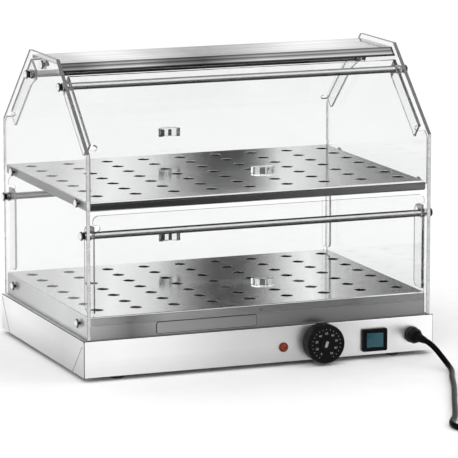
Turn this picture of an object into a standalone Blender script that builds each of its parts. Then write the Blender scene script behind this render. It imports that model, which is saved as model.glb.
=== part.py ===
"""Countertop hot food display case: stainless base with a perforated warming
tray, a perforated upper shelf, two clear end panels with a gabled outline, a
stainless roof strip, and four clear flaps that hang on stainless rods, two at
the front and two at the back.

Case frame: millimetres, +X along the front towards the viewer's right, -Y is
the front, +Z up, z = 0 is the lower edge of the base housing.  Everything is
parented to one empty, which lifts the case onto its feet and centres its box.
"""

import math

import bmesh
import bpy

for o in list(bpy.data.objects):
    bpy.data.objects.remove(o, do_unlink=True)

MM = 0.001

# ---------------------------------------------------------------- dimensions
BASE_W, BASE_D, BASE_H = 500.0, 350.0, 49.0
SHEET = 1.2                      # stainless sheet
FOOT_H = 6.0                     # feet stand this far below the base's edge
CENTRE_Y = 3.1                   # brings the middle of the box to y = 0

PANEL_IN, PANEL_OUT = 240.0, 245.0     # clear end panels, 5 mm
PANEL_Y = 174.0                        # half depth of the panels
EAVE_Z, RIDGE_Z, RIDGE_Y = 295.0, 405.0, 56.0

TRAY_X, DECK_Y = 239.7, 170.0          # half sizes of tray and shelf
TRAY_Z0, TRAY_Z1 = 49.3, 79.3
SHELF_Z0, SHELF_Z1 = 218.8, 231.6
HOLE_R, PITCH_X, PITCH_Y = 8.2, 53.9, 44.0
HOLES_X, HOLES_Y = 9, 7
HOLE_CX, HOLE_CY = 2.0, 7.0            # middle of the perforation grid

ROD_R, ROD_HOLE_R = 4.75, 5.15
ROD_FRONT_UPPER = (-78.0, 371.0)
ROD_BACK_UPPER = (58.0, 371.0)
ROD_FRONT_LOWER = (-164.0, 187.0)
ROD_BACK_LOWER = (164.0, 187.0)

FLAP_T = 3.0                           # clear flap sheet
FLAP_FACE_Y = 174.5                    # outer face of the upright flap sheet
SLOPE_INSET = 1.4                      # flap face below the panel's sloping edge
CHEEK_X_UP, CHEEK_X_LOW = 235.7, 236.0
UPPER_FLAP_HALF = 239.4
UPPER_FLAP_BOTTOM, LOWER_FLAP_BOTTOM, LOWER_FLAP_TOP = 228.0, 68.0, 214.0
HANDLE_R, HANDLE_T = 16.0, 12.0
HANDLE_Z_UP, HANDLE_Z_LOW = 261.0, 112.0

KNOB_X, KNOB_Z, KNOB_R = 85.0, 23.5, 26.5
LAMP_X, LAMP_Z = 31.0, 20.0
SWITCH_X, SWITCH_Z = 162.5, 20.3
GLAND_X, GLAND_Z = 218.5, 23.0
CORD_D = 7.6

SCREW_Y, TRAY_SCREW_Z, SHELF_SCREW_Z, ROOF_SCREW_Z = 136.0, 66.0, 226.0, 391.0

# ---------------------------------------------------------------- materials


def material(name, colour, rough, metal, alpha=1.0, transmission=0.0):
    m = bpy.data.materials.new(name)
    m.use_nodes = True
    b = m.node_tree.nodes["Principled BSDF"]
    b.inputs["Base Color"].default_value = (*colour, 1)
    b.inputs["Roughness"].default_value = rough
    b.inputs["Metallic"].default_value = metal
    b.inputs["Alpha"].default_value = alpha
    b.inputs["Transmission Weight"].default_value = transmission
    return m


STEEL = material("brushed_stainless", (0.62, 0.62, 0.61), 0.32, 1)
BRIGHT = material("polished_stainless", (0.72, 0.72, 0.72), 0.18, 1)
CLEAR = material("clear_acrylic", (0.95, 0.96, 0.96), 0.04, 0, 0.3)
BLACK = material("black_plastic", (0.015, 0.015, 0.016), 0.4, 0)
RUBBER = material("black_rubber", (0.02, 0.02, 0.02), 0.7, 0)
AMBER = material("amber_lens", (0.75, 0.16, 0.05), 0.2, 0)
TEAL = material("dark_teal_rocker", (0.02, 0.09, 0.11), 0.15, 0)
ZINC = material("zinc_plated", (0.5, 0.5, 0.48), 0.4, 1)
WHITE = material("white_insulator", (0.85, 0.84, 0.8), 0.5, 0)
BRASS = material("brass_pins", (0.75, 0.6, 0.3), 0.3, 1)

case = bpy.data.objects.new("case_origin", None)
case.location = (0, CENTRE_Y * MM, FOOT_H * MM)
bpy.context.scene.collection.objects.link(case)

# ------------------------------------------------------------------ helpers


def to_object(name, bm, mat, pivot=(0, 0, 0)):
    """An object from bm, whose points are case millimetres, with its origin
    on pivot."""
    bmesh.ops.recalc_face_normals(bm, faces=bm.faces)
    for v in bm.verts:
        v.co = [(c - p) * MM for c, p in zip(v.co, pivot)]
    me = bpy.data.meshes.new(name)
    bm.to_mesh(me)
    bm.free()
    if mat:
        me.materials.append(mat)
    me.shade_smooth()
    me.set_sharp_from_angle(angle=math.radians(32))
    o = bpy.data.objects.new(name, me)
    o.parent = case
    o.location = [p * MM for p in pivot]
    bpy.context.scene.collection.objects.link(o)
    return o


def place(axis, along, a, b):
    """A point from its position along the extrusion axis and the two other
    coordinates, in x, y, z order."""
    return {"x": (along, a, b), "y": (a, along, b), "z": (a, b, along)}[axis]


def add_prism(bm, outline, axis, lo, hi):
    low = [bm.verts.new(place(axis, lo, a, b)) for a, b in outline]
    high = [bm.verts.new(place(axis, hi, a, b)) for a, b in outline]
    bm.faces.new(low)
    bm.faces.new(high)
    n = len(outline)
    for i in range(n):
        j = (i + 1) % n
        bm.faces.new((low[i], low[j], high[j], high[i]))


def rect(a0, b0, a1, b1):
    return [(a0, b0), (a1, b0), (a1, b1), (a0, b1)]


def circle(a, b, r, n=10):
    return [
        (a + r * math.cos(2 * math.pi * (i + 0.5) / n), b + r * math.sin(2 * math.pi * (i + 0.5) / n))
        for i in range(n)
    ]


def arc(a, b, r, start, end, n):
    """Points on a circle about (a, b), angles in degrees."""
    return [
        (
            a + r * math.cos(math.radians(start + (end - start) * i / n)),
            b + r * math.sin(math.radians(start + (end - start) * i / n)),
        )
        for i in range(n + 1)
    ]


def rounded_rect(a0, b0, a1, b1, r, n=3):
    return (
        arc(a0 + r, b0 + r, r, 180, 270, n)
        + arc(a1 - r, b0 + r, r, 270, 360, n)
        + arc(a1 - r, b1 - r, r, 0, 90, n)
        + arc(a0 + r, b1 - r, r, 90, 180, n)
    )


def prism(name, outline, axis, lo, hi, mat, pivot=(0, 0, 0)):
    bm = bmesh.new()
    add_prism(bm, outline, axis, lo, hi)
    return to_object(name, bm, mat, pivot)


def add_lathe(bm, profile, axis, a, b, n):
    """A turned solid about the line through (a, b) along axis: profile is a
    list of (position along the axis, radius); its ends are closed, to a point
    where the radius is 0."""
    rings = []
    for s, r in profile:
        if r <= 0:
            rings.append([bm.verts.new(place(axis, s, a, b))])
        else:
            rings.append([bm.verts.new(place(axis, s, x, y)) for x, y in circle(a, b, r, n)])
    for p, q in zip(rings, rings[1:]):
        for i in range(n):
            j = (i + 1) % n
            if len(p) == 1:
                bm.faces.new((p[0], q[i], q[j]))
            elif len(q) == 1:
                bm.faces.new((p[i], p[j], q[0]))
            else:
                bm.faces.new((p[i], p[j], q[j], q[i]))
    for ring in (rings[0], rings[-1]):
        if len(ring) > 1:
            bm.faces.new(ring)


def lathe(name, profile, axis, a, b, n, mat, pivot=(0, 0, 0)):
    bm = bmesh.new()
    add_lathe(bm, profile, axis, a, b, n)
    return to_object(name, bm, mat, pivot)


def cutter(name, shapes, pivot=(0, 0, 0)):
    """Closed shapes that don't touch each other, joined as one hidden tool."""
    bm = bmesh.new()
    for s in shapes:
        s(bm)
    o = to_object(name, bm, None, pivot)
    o.hide_render = True
    o.display_type = "WIRE"
    return o


def boolean(target, tool, operation):
    m = target.modifiers.new(tool.name, "BOOLEAN")
    m.operation = operation
    m.solver = "EXACT"
    m.object = tool
    return target


def cut(target, name, shapes, pivot=(0, 0, 0)):
    return boolean(target, cutter(name, shapes, pivot), "DIFFERENCE")


def add(target, name, shapes, pivot=(0, 0, 0)):
    return boolean(target, cutter(name, shapes, pivot), "UNION")


def P(outline, axis, lo, hi):
    return lambda bm: add_prism(bm, outline, axis, lo, hi)


# --------------------------------------------------------------------- base
housing = prism("base_housing", rect(-BASE_W / 2, -BASE_D / 2, BASE_W / 2, BASE_D / 2), "z", 0, BASE_H, STEEL)
cut(housing, "cut_base_inside", [P(rect(-248.8, -173.8, 248.8, 173.8), "z", -5, BASE_H - SHEET)])
cut(
    housing,
    "cut_base_openings",
    [
        P(circle(KNOB_X, KNOB_Z, 5.5, 12), "y", -180, -170),
        P(circle(LAMP_X, LAMP_Z, 4.7, 12), "y", -180, -170),
        P(rect(SWITCH_X - 15.4, SWITCH_Z - 12.9, SWITCH_X + 15.4, SWITCH_Z + 12.9), "y", -180, -170),
        P(circle(GLAND_X, GLAND_Z, 8.3, 12), "y", -180, -170),
        P(rect(188, 118, 222, 142), "z", 40, 60),
    ],
)

FEET = {"foot_front_left": (-198, -155), "foot_front_right": (198, -155), "foot_back_left": (-198, 155), "foot_back_right": (198, 155)}
bottom = prism("bottom_plate", rect(-248.4, -173.4, 248.4, 173.4), "z", 1.0, 2.2, ZINC)
cut(bottom, "cut_foot_holes", [P(circle(x, y, 3.0, 8), "z", -3, 6) for x, y in FEET.values()])
for name, (x, y) in FEET.items():
    lathe(name, [(-FOOT_H, 8.6), (-FOOT_H + 1.2, 10), (0.7, 10), (0.7, 2.6), (7.5, 2.6)], "z", x, y, 16, RUBBER)

# ------------------------------------------------- perforated tray and shelf


def perforated(name, z0, z1, screw_z):
    """A shallow pan turned upside down: a top sheet with round holes and four
    folded sides, open below."""
    pan = prism(name, rect(-TRAY_X, -DECK_Y, TRAY_X, DECK_Y), "z", z0, z1, STEEL)
    cut(pan, "cut_" + name + "_inside", [P(rect(-TRAY_X + SHEET, -DECK_Y + SHEET, TRAY_X - SHEET, DECK_Y - SHEET), "z", z0 - 5, z1 - SHEET)])
    holes = [
        P(
            circle(HOLE_CX + (i - (HOLES_X - 1) / 2) * PITCH_X, HOLE_CY + (j - (HOLES_Y - 1) / 2) * PITCH_Y, HOLE_R, 8),
            "z",
            z1 - 3,
            z1 + 3,
        )
        for i in range(HOLES_X)
        for j in range(HOLES_Y)
    ]
    cut(pan, "cut_" + name + "_holes", holes)
    cut(pan, "cut_" + name + "_screws", [P(circle(y, screw_z, 2.4, 8), "x", x, x + 6) for x in (-242, 236) for y in (-SCREW_Y, SCREW_Y)])
    return pan


perforated("warming_tray", TRAY_Z0, TRAY_Z1, TRAY_SCREW_Z)
perforated("upper_shelf", SHELF_Z0, SHELF_Z1, SHELF_SCREW_Z)

# a plain sheet closes the shelf's underside
prism("shelf_bottom", rect(-238.2, -168.5, 238.2, 168.5), "z", SHELF_Z0 + 0.2, SHELF_Z0 + 1.2, STEEL)

# blank plate on the tray's front face
prism("name_plate", rounded_rect(-147, 51.5, -6, 66.3, 2.5, 2), "y", -171.0, -170.3, STEEL)

# small clear stops that the front flaps rest on
for name, z in (("flap_stop_upper", 229.9), ("flap_stop_lower", 73.0)):
    prism(name, circle(0, z, 1.7 if z > 200 else 3.0, 10), "y", -171.2, -170.3, CLEAR)

# --------------------------------------------------------------- end panels
GABLE = [(-PANEL_Y, 49.3), (PANEL_Y, 49.3), (PANEL_Y, EAVE_Z), (RIDGE_Y, RIDGE_Z), (-RIDGE_Y, RIDGE_Z), (-PANEL_Y, EAVE_Z)]
RODS = {"front_upper": ROD_FRONT_UPPER, "back_upper": ROD_BACK_UPPER, "front_lower": ROD_FRONT_LOWER, "back_lower": ROD_BACK_LOWER}
SCREWS = {
    "tray_front": (-SCREW_Y, TRAY_SCREW_Z),
    "tray_back": (SCREW_Y, TRAY_SCREW_Z),
    "shelf_front": (-SCREW_Y, SHELF_SCREW_Z),
    "shelf_back": (SCREW_Y, SHELF_SCREW_Z),
    "roof": (0.0, ROOF_SCREW_Z),
}
for side, sx in (("left", -1), ("right", 1)):
    lo, hi = sorted((sx * PANEL_IN, sx * PANEL_OUT))
    panel = prism("side_panel_" + side, GABLE, "x", lo, hi, CLEAR)
    cut(
        panel,
        "cut_panel_" + side,
        [P(circle(y, z, ROD_HOLE_R, 12), "x", lo - 2, hi + 2) for y, z in RODS.values()]
        + [P(circle(y, z, 2.4, 8), "x", lo - 2, hi + 2) for y, z in SCREWS.values()],
    )
    # screws: a domed head outside the panel and a shank through panel and sheet
    for name, (y, z) in SCREWS.items():
        lathe(
            f"screw_{name}_{side}",
            [(sx * 249.6, 0), (sx * 249.0, 2.6), (sx * 247.6, 5.0), (sx * 246.3, 6.0), (sx * 245.3, 6.0), (sx * 245.3, 2.0), (sx * 233.0, 2.0)],
            "x",
            y,
            z,
            10,
            BRIGHT,
        )
    # caps on the rods' ends: a neck, a domed head and a stud in the rod's bore
    for name, (y, z) in RODS.items():
        lathe(
            f"rod_cap_{name}_{side}",
            [
                (sx * 252.4, 0),
                (sx * 251.8, 2.8),
                (sx * 250.4, 5.2),
                (sx * 249.2, 6.0),
                (sx * 248.0, 6.0),
                (sx * 247.6, 4.2),
                (sx * 245.3, 4.2),
                (sx * 245.3, 2.3),
                (sx * 236.0, 2.3),
            ],
            "x",
            y,
            z,
            10,
            BRIGHT,
        )

# --------------------------------------------------------------------- rods
for name, (y, z) in RODS.items():
    rod = lathe(
        "rod_" + name,
        [
            (-244.7, ROD_R),
            (-239.6, ROD_R),
            (-239.6, 6.2),
            (-236.4, 6.2),
            (-236.4, ROD_R),
            (236.4, ROD_R),
            (236.4, 6.2),
            (239.6, 6.2),
            (239.6, ROD_R),
            (244.7, ROD_R),
        ],
        "x",
        y,
        z,
        12,
        BRIGHT,
    )
    cut(rod, "cut_rod_" + name, [P(circle(y, z, 2.6, 8), "x", x, x + 20) for x in (-252.0, 232.0)])

# --------------------------------------------------------------- roof strip
LEN = math.hypot(PANEL_Y - RIDGE_Y, RIDGE_Z - EAVE_Z)
DOWN = (-(PANEL_Y - RIDGE_Y) / LEN, -(RIDGE_Z - EAVE_Z) / LEN)   # down the front slope
OUT = (DOWN[1], -DOWN[0])                                        # out of the front slope


def slope(t, n):
    """A point t mm down the front slope from its ridge and n mm inside it."""
    return (-RIDGE_Y + t * DOWN[0] - n * OUT[0], RIDGE_Z + t * DOWN[1] - n * OUT[1])


ROOF = [(50.0, 394.0), (50.0, 399.0), (-54.0, 399.0), (-65.2, 388.6), (-64.4, 387.7), (-53.5, 397.8), (48.8, 397.8), (48.8, 394.0)]
roof = prism("roof_strip", ROOF, "x", -239.5, 239.5, STEEL)
add(roof, "roof_tabs", [P(rect(-15, 384.5, 15, 398.4), "x", x, x + SHEET) for x in (-239.5, 239.5 - SHEET)])
cut(roof, "cut_roof_screws", [P(circle(0, ROOF_SCREW_Z, 2.4, 8), "x", x, x + 8) for x in (-243, 235)])

# -------------------------------------------------------------------- flaps


def offset_path(points, d):
    """The path moved d to its right, mitred at its corners."""
    out = []
    for i, p in enumerate(points):
        dirs = []
        for a, b in ((i - 1, i), (i, i + 1)):
            if a >= 0 and b < len(points):
                dx, dy = points[b][0] - points[a][0], points[b][1] - points[a][1]
                l = math.hypot(dx, dy)
                dirs.append((dy / l, -dx / l))
        nx, ny = sum(v[0] for v in dirs), sum(v[1] for v in dirs)
        l = math.hypot(nx, ny)
        nx, ny = nx / l, ny / l
        k = d / (nx * dirs[0][0] + ny * dirs[0][1])
        out.append((p[0] + nx * k, p[1] + ny * k))
    return out


def fillet(p0, p1, p2, r, n):
    """The path p0, p1, p2 with its corner rounded."""
    def unit(a, b):
        l = math.hypot(b[0] - a[0], b[1] - a[1])
        return ((b[0] - a[0]) / l, (b[1] - a[1]) / l)

    u, v = unit(p1, p0), unit(p1, p2)
    half = math.acos(u[0] * v[0] + u[1] * v[1]) / 2
    back = r / math.tan(half)
    a = (p1[0] + u[0] * back, p1[1] + u[1] * back)
    b = (p1[0] + v[0] * back, p1[1] + v[1] * back)
    m = unit((0, 0), (u[0] + v[0], u[1] + v[1]))
    c = (p1[0] + m[0] * r / math.sin(half), p1[1] + m[1] * r / math.sin(half))
    s = math.atan2(a[1] - c[1], a[0] - c[0])
    e = math.atan2(b[1] - c[1], b[0] - c[0])
    turn = (e - s + math.pi) % (2 * math.pi) - math.pi
    return [p0] + [(c[0] + r * math.cos(s + turn * i / n), c[1] + r * math.sin(s + turn * i / n)) for i in range(n + 1)] + [p2]


def mirror(outline, side):
    return [(-side * y, z) for y, z in outline]


def upper_flap(name, side, rod):
    """A bent sheet: a sloping part with a cheek at each end, which hangs on
    the rod, and a wider upright part down to the shelf's edge. side is -1 at
    the front and 1 at the back; the outline is drawn for the front."""
    ry, rz = -abs(rod[0]), rod[1]
    t_rod = (ry + RIDGE_Y) * DOWN[0] + (rz - RIDGE_Z) * DOWN[1]
    n_rod = -((ry + RIDGE_Y) * OUT[0] + (rz - RIDGE_Z) * OUT[1])
    deep = n_rod > 15
    t_top = t_rod - (5.0 if deep else 11.0)
    mid = SLOPE_INSET + FLAP_T / 2
    y_mid = -FLAP_FACE_Y + FLAP_T / 2
    # where the sheet's middle line meets the upright middle line
    t_bend = (y_mid - slope(0, mid)[0]) / DOWN[0]
    path = fillet(slope(t_top, mid), slope(t_bend, mid), (y_mid, UPPER_FLAP_BOTTOM), 8, 4)
    sheet = offset_path(path, FLAP_T / 2) + offset_path(path, -FLAP_T / 2)[::-1]
    pivot = (0, side * abs(ry), rz)
    flip = lambda o: mirror(o, side)
    flap = prism(name, flip(sheet), "x", -UPPER_FLAP_HALF, UPPER_FLAP_HALF, CLEAR, pivot)
    # narrow the sloping part, with a rounded relief slot at each end of the bend
    side_cut = [slope(t_top - 10, -8), slope(147.0, -8), slope(147.0, 12), slope(t_top - 10, 12)]
    cut(flap, "cut_" + name + "_width", [P(flip(side_cut), "x", x0, x1) for x0, x1 in ((-246, -CHEEK_X_UP), (CHEEK_X_UP, 246))], pivot)

    def slot(s):
        def build(bm):
            pts = [(s * 246, 4), (s * 246, -4), (s * 230, -4)] + [(s * (230 + 4 * math.cos(math.radians(a))), 4 * math.sin(math.radians(a))) for a in (-120, -150, 180, 150, 120)] + [(s * 230, 4)]
            low, high = [], []
            for x, dt in pts:
                for n, ring in ((-6, low), (12, high)):
                    y, z = slope(148.5 + dt, n)
                    ring.append(bm.verts.new((x, -side * y, z)))
            bm.faces.new(low)
            bm.faces.new(high)
            for i in range(len(pts)):
                j = (i + 1) % len(pts)
                bm.faces.new((low[i], low[j], high[j], high[i]))
        return build

    cut(flap, "cut_" + name + "_slots", [slot(-1), slot(1)], pivot)
    # cheeks
    t_end, n_in, n0 = 143.5, SLOPE_INSET + 25.0, SLOPE_INSET + 1.6
    if deep:
        eye = [slope(t_rod + 9.5 * math.sin(math.radians(a)), n_rod + 9.5 * math.cos(math.radians(a))) for a in (-110, -80, -50, -20, 10, 40)]
        cheek = [slope(t_top, n0)] + eye + [slope(t_rod + 22, n_in)]
    else:
        cheek = [slope(t_top, n0)] + [slope(t_top + 12 - 12 * math.cos(math.radians(a)), n_in - 12 + 12 * math.sin(math.radians(a))) for a in (0, 22.5, 45, 67.5, 90)]
    cheek += [slope(t_end - 3, n_in), slope(t_end, n_in - 3), slope(t_end, n0)]
    add(flap, "add_" + name + "_cheeks", [P(flip(cheek), "x", x0, x0 + FLAP_T) for x0 in (-CHEEK_X_UP, CHEEK_X_UP - FLAP_T)], pivot)
    cut(flap, "cut_" + name + "_eyes", [P(circle(side * abs(ry), rz, ROD_HOLE_R, 12), "x", x, x + 20) for x in (-246, 226)], pivot)
    return pivot


def lower_flap(name, side, rod):
    """An upright sheet with rounded top corners and a cheek at each end,
    which hangs on the rod below the shelf."""
    y_out, y_in = -FLAP_FACE_Y, -FLAP_FACE_Y + FLAP_T
    pivot = (0, side * abs(rod[0]), rod[1])
    flip = lambda o: mirror(o, side)
    W = CHEEK_X_LOW
    z0, z1 = LOWER_FLAP_BOTTOM, LOWER_FLAP_TOP
    outline = [(-W, z0 + 2), (-W + 2, z0), (W - 2, z0), (W, z0 + 2)]
    # the right side up to the relief slot, the slot, and the chamfered corner
    slot = [(W, 193.5), (230.2, 193.5)] + [(230.2 - 4.2 * math.sin(math.radians(a)), 197.7 - 4.2 * math.cos(math.radians(a))) for a in (30, 60, 90, 120, 150)] + [(230.2, 201.9), (W, 201.9)]
    corner = [(W, 206.0), (W - 1.6, 210.5), (W - 5, z1)]
    right = slot + corner
    outline += right + [(-x, z) for x, z in right[::-1]]
    lo, hi = sorted((-side * y_out, -side * y_in))
    flap = prism(name, outline, "y", lo, hi, CLEAR, pivot)
    cheek = (
        [(y_in - 1.4, 85.0)]
        + arc(-154.0, 93.0, 8.0, 270, 360, 4)
        + arc(-158.4, 186.6, 12.4, 0, 90, 4)
        + [(y_in + 0.25, 199.0), (y_in + 0.25, 193.3), (y_in - 1.4, 193.3)]
    )
    add(flap, "add_" + name + "_cheeks", [P(flip(cheek), "x", x0, x0 + FLAP_T) for x0 in (-W, W - FLAP_T)], pivot)
    cut(flap, "cut_" + name + "_eyes", [P(circle(side * abs(rod[0]), rod[1], ROD_HOLE_R, 12), "x", x, x + 20) for x in (-246, 226)], pivot)
    return pivot


def handle(name, side, z, pivot):
    """A half-round clear pull on the flap's outer face."""
    face = FLAP_FACE_Y + 0.3
    outline = [(x, side * (face + y)) for x, y in arc(0, 0, HANDLE_R, 0, 180, 14)]
    prism(name, outline, "z", z - HANDLE_T / 2, z + HANDLE_T / 2, CLEAR, pivot)


for word, side in (("front", -1), ("back", 1)):
    p = upper_flap(f"{word}_upper_flap", side, RODS[word + "_upper"])
    handle(f"{word}_upper_handle", side, HANDLE_Z_UP, p)
    p = lower_flap(f"{word}_lower_flap", side, RODS[word + "_lower"])
    handle(f"{word}_lower_handle", side, HANDLE_Z_LOW, p)

# ----------------------------------------------------------------- controls
F = -BASE_D / 2  # the base's front face
thermostat = prism("thermostat", rect(KNOB_X - 20, KNOB_Z - 17, KNOB_X + 20, KNOB_Z + 17), "y", F + 1.5, F + 27, ZINC)
add(thermostat, "add_thermostat_shaft", [lambda bm: add_lathe(bm, [(F + 3, 3.0), (F - 11.5, 3.0)], "y", KNOB_X, KNOB_Z, 12)])
lathe(
    "control_knob",
    [(F - 1.0, 3.4), (F - 1.0, 25.0), (F - 2.0, 26.3), (F - 18.5, KNOB_R), (F - 21.0, 25.6), (F - 22.0, 24.0), (F - 21.2, 21.0), (F - 21.2, 0)],
    "y",
    KNOB_X,
    KNOB_Z,
    32,
    BLACK,
    (KNOB_X, F, KNOB_Z),
)
cut(bpy.data.objects["control_knob"], "cut_knob_bore", [lambda bm: add_lathe(bm, [(F + 2, 3.4), (F - 12.5, 3.4)], "y", KNOB_X, KNOB_Z, 12)], (KNOB_X, F, KNOB_Z))

lathe("lamp_lens", [(F - 6.0, 0), (F - 5.6, 2.6), (F - 4.2, 5.0), (F - 2.2, 6.2), (F - 0.3, 6.6), (F - 0.3, 4.3), (F + 3.4, 4.3)], "y", LAMP_X, LAMP_Z, 16, AMBER)
lathe("lamp_holder", [(F + 3.7, 6.5), (F + 24, 6.5), (F + 24, 3), (F + 30, 3)], "y", LAMP_X, LAMP_Z, 12, BLACK)

sw = prism("switch_body", rounded_rect(SWITCH_X - 18.3, SWITCH_Z - 15.5, SWITCH_X + 18.3, SWITCH_Z + 15.5, 2.5, 3), "y", F - 4.3, F - 0.3, BLACK)
add(sw, "add_switch_rear", [P(rect(SWITCH_X - 15.1, SWITCH_Z - 12.6, SWITCH_X + 15.1, SWITCH_Z + 12.6), "y", F - 1.0, F + 20)])
cut(sw, "cut_switch_front", [P(rect(SWITCH_X - 12.9, SWITCH_Z - 10.2, SWITCH_X + 12.9, SWITCH_Z + 10.2), "y", F - 8, F + 14)])
# the rocker: two shallow facets that meet over its pin, tipped 7 degrees with
# its right half raised, and turned 14 degrees to its other place
PIVOT_Y = F - 1.5
rocker = [(-11.5, -5.0), (0.0, -3.6), (11.5, -5.0), (12.3, 0.0), (8.0, 8.5), (-8.0, 8.5), (-12.3, 0.0)]
TIP = math.radians(-7)
rocker = [(x * math.cos(TIP) - y * math.sin(TIP), x * math.sin(TIP) + y * math.cos(TIP)) for x, y in rocker]
prism(
    "switch_rocker",
    [(SWITCH_X + x, PIVOT_Y + y) for x, y in rocker],
    "z",
    SWITCH_Z - 9.8,
    SWITCH_Z + 9.8,
    TEAL,
    (SWITCH_X, PIVOT_Y, SWITCH_Z),
)

# ---------------------------------------------------- inside the warming deck
# tubular heating element: five runs under the tray, its two ends turned down
# through the opening in the base's top
HZ = 54.5


def element_points():
    pts = []
    runs = [-125, -75, -25, 25, 75]
    for k, y in enumerate(runs):
        xs = (-190, 190) if k % 2 == 0 else (190, -190)
        pts.append((xs[0], y, HZ))
        pts.append((xs[1], y, HZ))
        if k < len(runs) - 1:
            s = 1 if k % 2 == 0 else -1
            for a in (-60, -30, 0, 30, 60):
                pts.append((s * (190 + 25 * math.cos(math.radians(a))), y + 25 + 25 * math.sin(math.radians(a)), HZ))
    end = [(204, 79, HZ), (210, 92, HZ), (210, 112, HZ), (209, 122, HZ - 1.5), (208, 126, HZ - 6), (207.5, 127, HZ - 12), (207.5, 127, 36)]
    return pts + end


def tube(name, points, r, mat, sides=2, pivot=(0, 0, 0)):
    c = bpy.data.curves.new(name, "CURVE")
    c.dimensions = "3D"
    c.bevel_depth = r * MM
    c.bevel_resolution = sides
    c.use_fill_caps = True
    s = c.splines.new("POLY")
    s.points.add(len(points) - 1)
    for p, q in zip(s.points, points):
        p.co = (*[v * MM for v in q], 1)
    c.materials.append(mat)
    o = bpy.data.objects.new(name, c)
    o.parent = case
    bpy.context.scene.collection.objects.link(o)
    return o


tube("heating_element", element_points(), 3.2, ZINC, 1)

block = prism("terminal_block", rect(180, 60, 226, 82), "z", 2.5, 20, WHITE)
cut(block, "cut_terminals", [P(circle(x, 71, 3.0, 8), "z", 9, 25) for x in (188, 203, 218)])

# -------------------------------------------------------------------- cord
lathe(
    "cord_gland",
    [(F - 17.0, 7.0), (F - 15.5, 8.8), (F - 9.5, 10.6), (F - 8.5, 11.2), (F - 0.3, 11.2), (F - 0.3, 8.0), (F + 9.0, 8.0)],
    "y",
    GLAND_X,
    GLAND_Z,
    16,
    BLACK,
)
cut(bpy.data.objects["cord_gland"], "cut_gland_bore", [lambda bm: add_lathe(bm, [(F - 20, 5.3), (F + 12, 5.3)], "y", GLAND_X, GLAND_Z, 12)])
CORD_OUT = F - 42.0
lathe(
    "strain_relief",
    [(CORD_OUT, 4.5), (F - 20.0, 6.3), (F - 17.3, 6.6), (F - 17.3, 4.9), (F + 6, 4.9)],
    "y",
    GLAND_X,
    GLAND_Z,
    14,
    RUBBER,
)

# Where the case stands is z = -FOOT_H.  The cord leaves the relief, falls to
# the worktop, runs forward along it and turns into a coil.
LIE = -FOOT_H + CORD_D / 2
COIL_C, COIL_R = (168.0, -591.0), 42.0       # middle of the coil and of its turns
COIL_LIFT = 1.5                              # the tie's strap is under the coil
R_OUT = COIL_R + CORD_D / 2                  # centre line of the outer turns
ENTRY = 250.0                                # degrees: where the lead joins the outer turn


def coil_point(deg, r, z):
    return (COIL_C[0] + r * math.cos(math.radians(deg)), COIL_C[1] + r * math.sin(math.radians(deg)), z)


def lead_line(d):
    """A point on the straight line that meets the outer turn at ENTRY, d mm
    before it, for a lead that runs on anticlockwise."""
    x, y, z = coil_point(ENTRY, R_OUT, 0)
    dx, dy = -math.sin(math.radians(ENTRY)), math.cos(math.radians(ENTRY))
    return (x - dx * d, y - dy * d)


def lead_turn(radius, h0, h1, n):
    """An anticlockwise arc from heading h0 to h1 that ends on the straight
    line, 36 mm before the outer turn."""
    x, y = lead_line(36.0)
    p = lambda h: (radius * math.sin(math.radians(h)), -radius * math.cos(math.radians(h)))
    ex, ey = p(h1)
    return [(x + p(h)[0] - ex, y + p(h)[1] - ey, LIE) for h in (h0 + (h1 - h0) * i / n for i in range(n + 1))]


ROUTE = [
    (GLAND_X, CORD_OUT - 9, GLAND_Z - 0.2),
    (GLAND_X + 2.5, CORD_OUT - 24, GLAND_Z - 4.5),
    (GLAND_X + 6.5, CORD_OUT - 41, 8.5),
    (GLAND_X + 7.5, CORD_OUT - 58, 1.2),
    (GLAND_X + 3.5, CORD_OUT - 78, LIE + 0.3),
    (206.0, -331.0, LIE),
    (186.0, -380.0, LIE),
    (154.0, -450.0, LIE),
    (114.0, -537.0, LIE),
    *lead_turn(40.0, 245.0, ENTRY + 90.0, 4),
    (*lead_line(28.6), LIE + 0.8),
]


def smooth(points, step):
    """A centripetal curve through the points, read off every step mm."""
    ext = [tuple(2 * a - b for a, b in zip(points[0], points[1]))] + list(points) + [tuple(2 * a - b for a, b in zip(points[-1], points[-2]))]
    fine = []
    for i in range(1, len(ext) - 2):
        p = ext[i - 1 : i + 3]
        t = [0.0]
        for a, b in zip(p, p[1:]):
            t.append(t[-1] + max(math.dist(a, b), 1e-6) ** 0.5)
        for k in range(40):
            u = t[1] + (t[2] - t[1]) * k / 40
            L = [[(t[j + 1] - u) / (t[j + 1] - t[j]) * a + (u - t[j]) / (t[j + 1] - t[j]) * b for a, b in zip(p[j], p[j + 1])] for j in range(3)]
            M = [[(t[j + 2] - u) / (t[j + 2] - t[j]) * a + (u - t[j]) / (t[j + 2] - t[j]) * b for a, b in zip(L[j], L[j + 1])] for j in range(2)]
            fine.append(tuple((t[2] - u) / (t[2] - t[1]) * a + (u - t[1]) / (t[2] - t[1]) * b for a, b in zip(*M)))
    fine.append(points[-1])
    total = sum(math.dist(a, b) for a, b in zip(fine, fine[1:]))
    n = max(2, round(total / step))
    out, walked, k = [fine[0]], 0.0, 1
    for i in range(1, n):
        goal = total * i / n
        while walked + math.dist(fine[k - 1], fine[k]) < goal:
            walked += math.dist(fine[k - 1], fine[k])
            k += 1
        f = (goal - walked) / math.dist(fine[k - 1], fine[k])
        out.append(tuple(a + (b - a) * f for a, b in zip(fine[k - 1], fine[k])))
    return out + [fine[-1]]


tube("power_cord", [(GLAND_X, CORD_OUT - 0.3, GLAND_Z), (GLAND_X, CORD_OUT - 2.0, GLAND_Z)] + smooth(ROUTE, 18.0), CORD_D / 2, RUBBER, 2)

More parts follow.
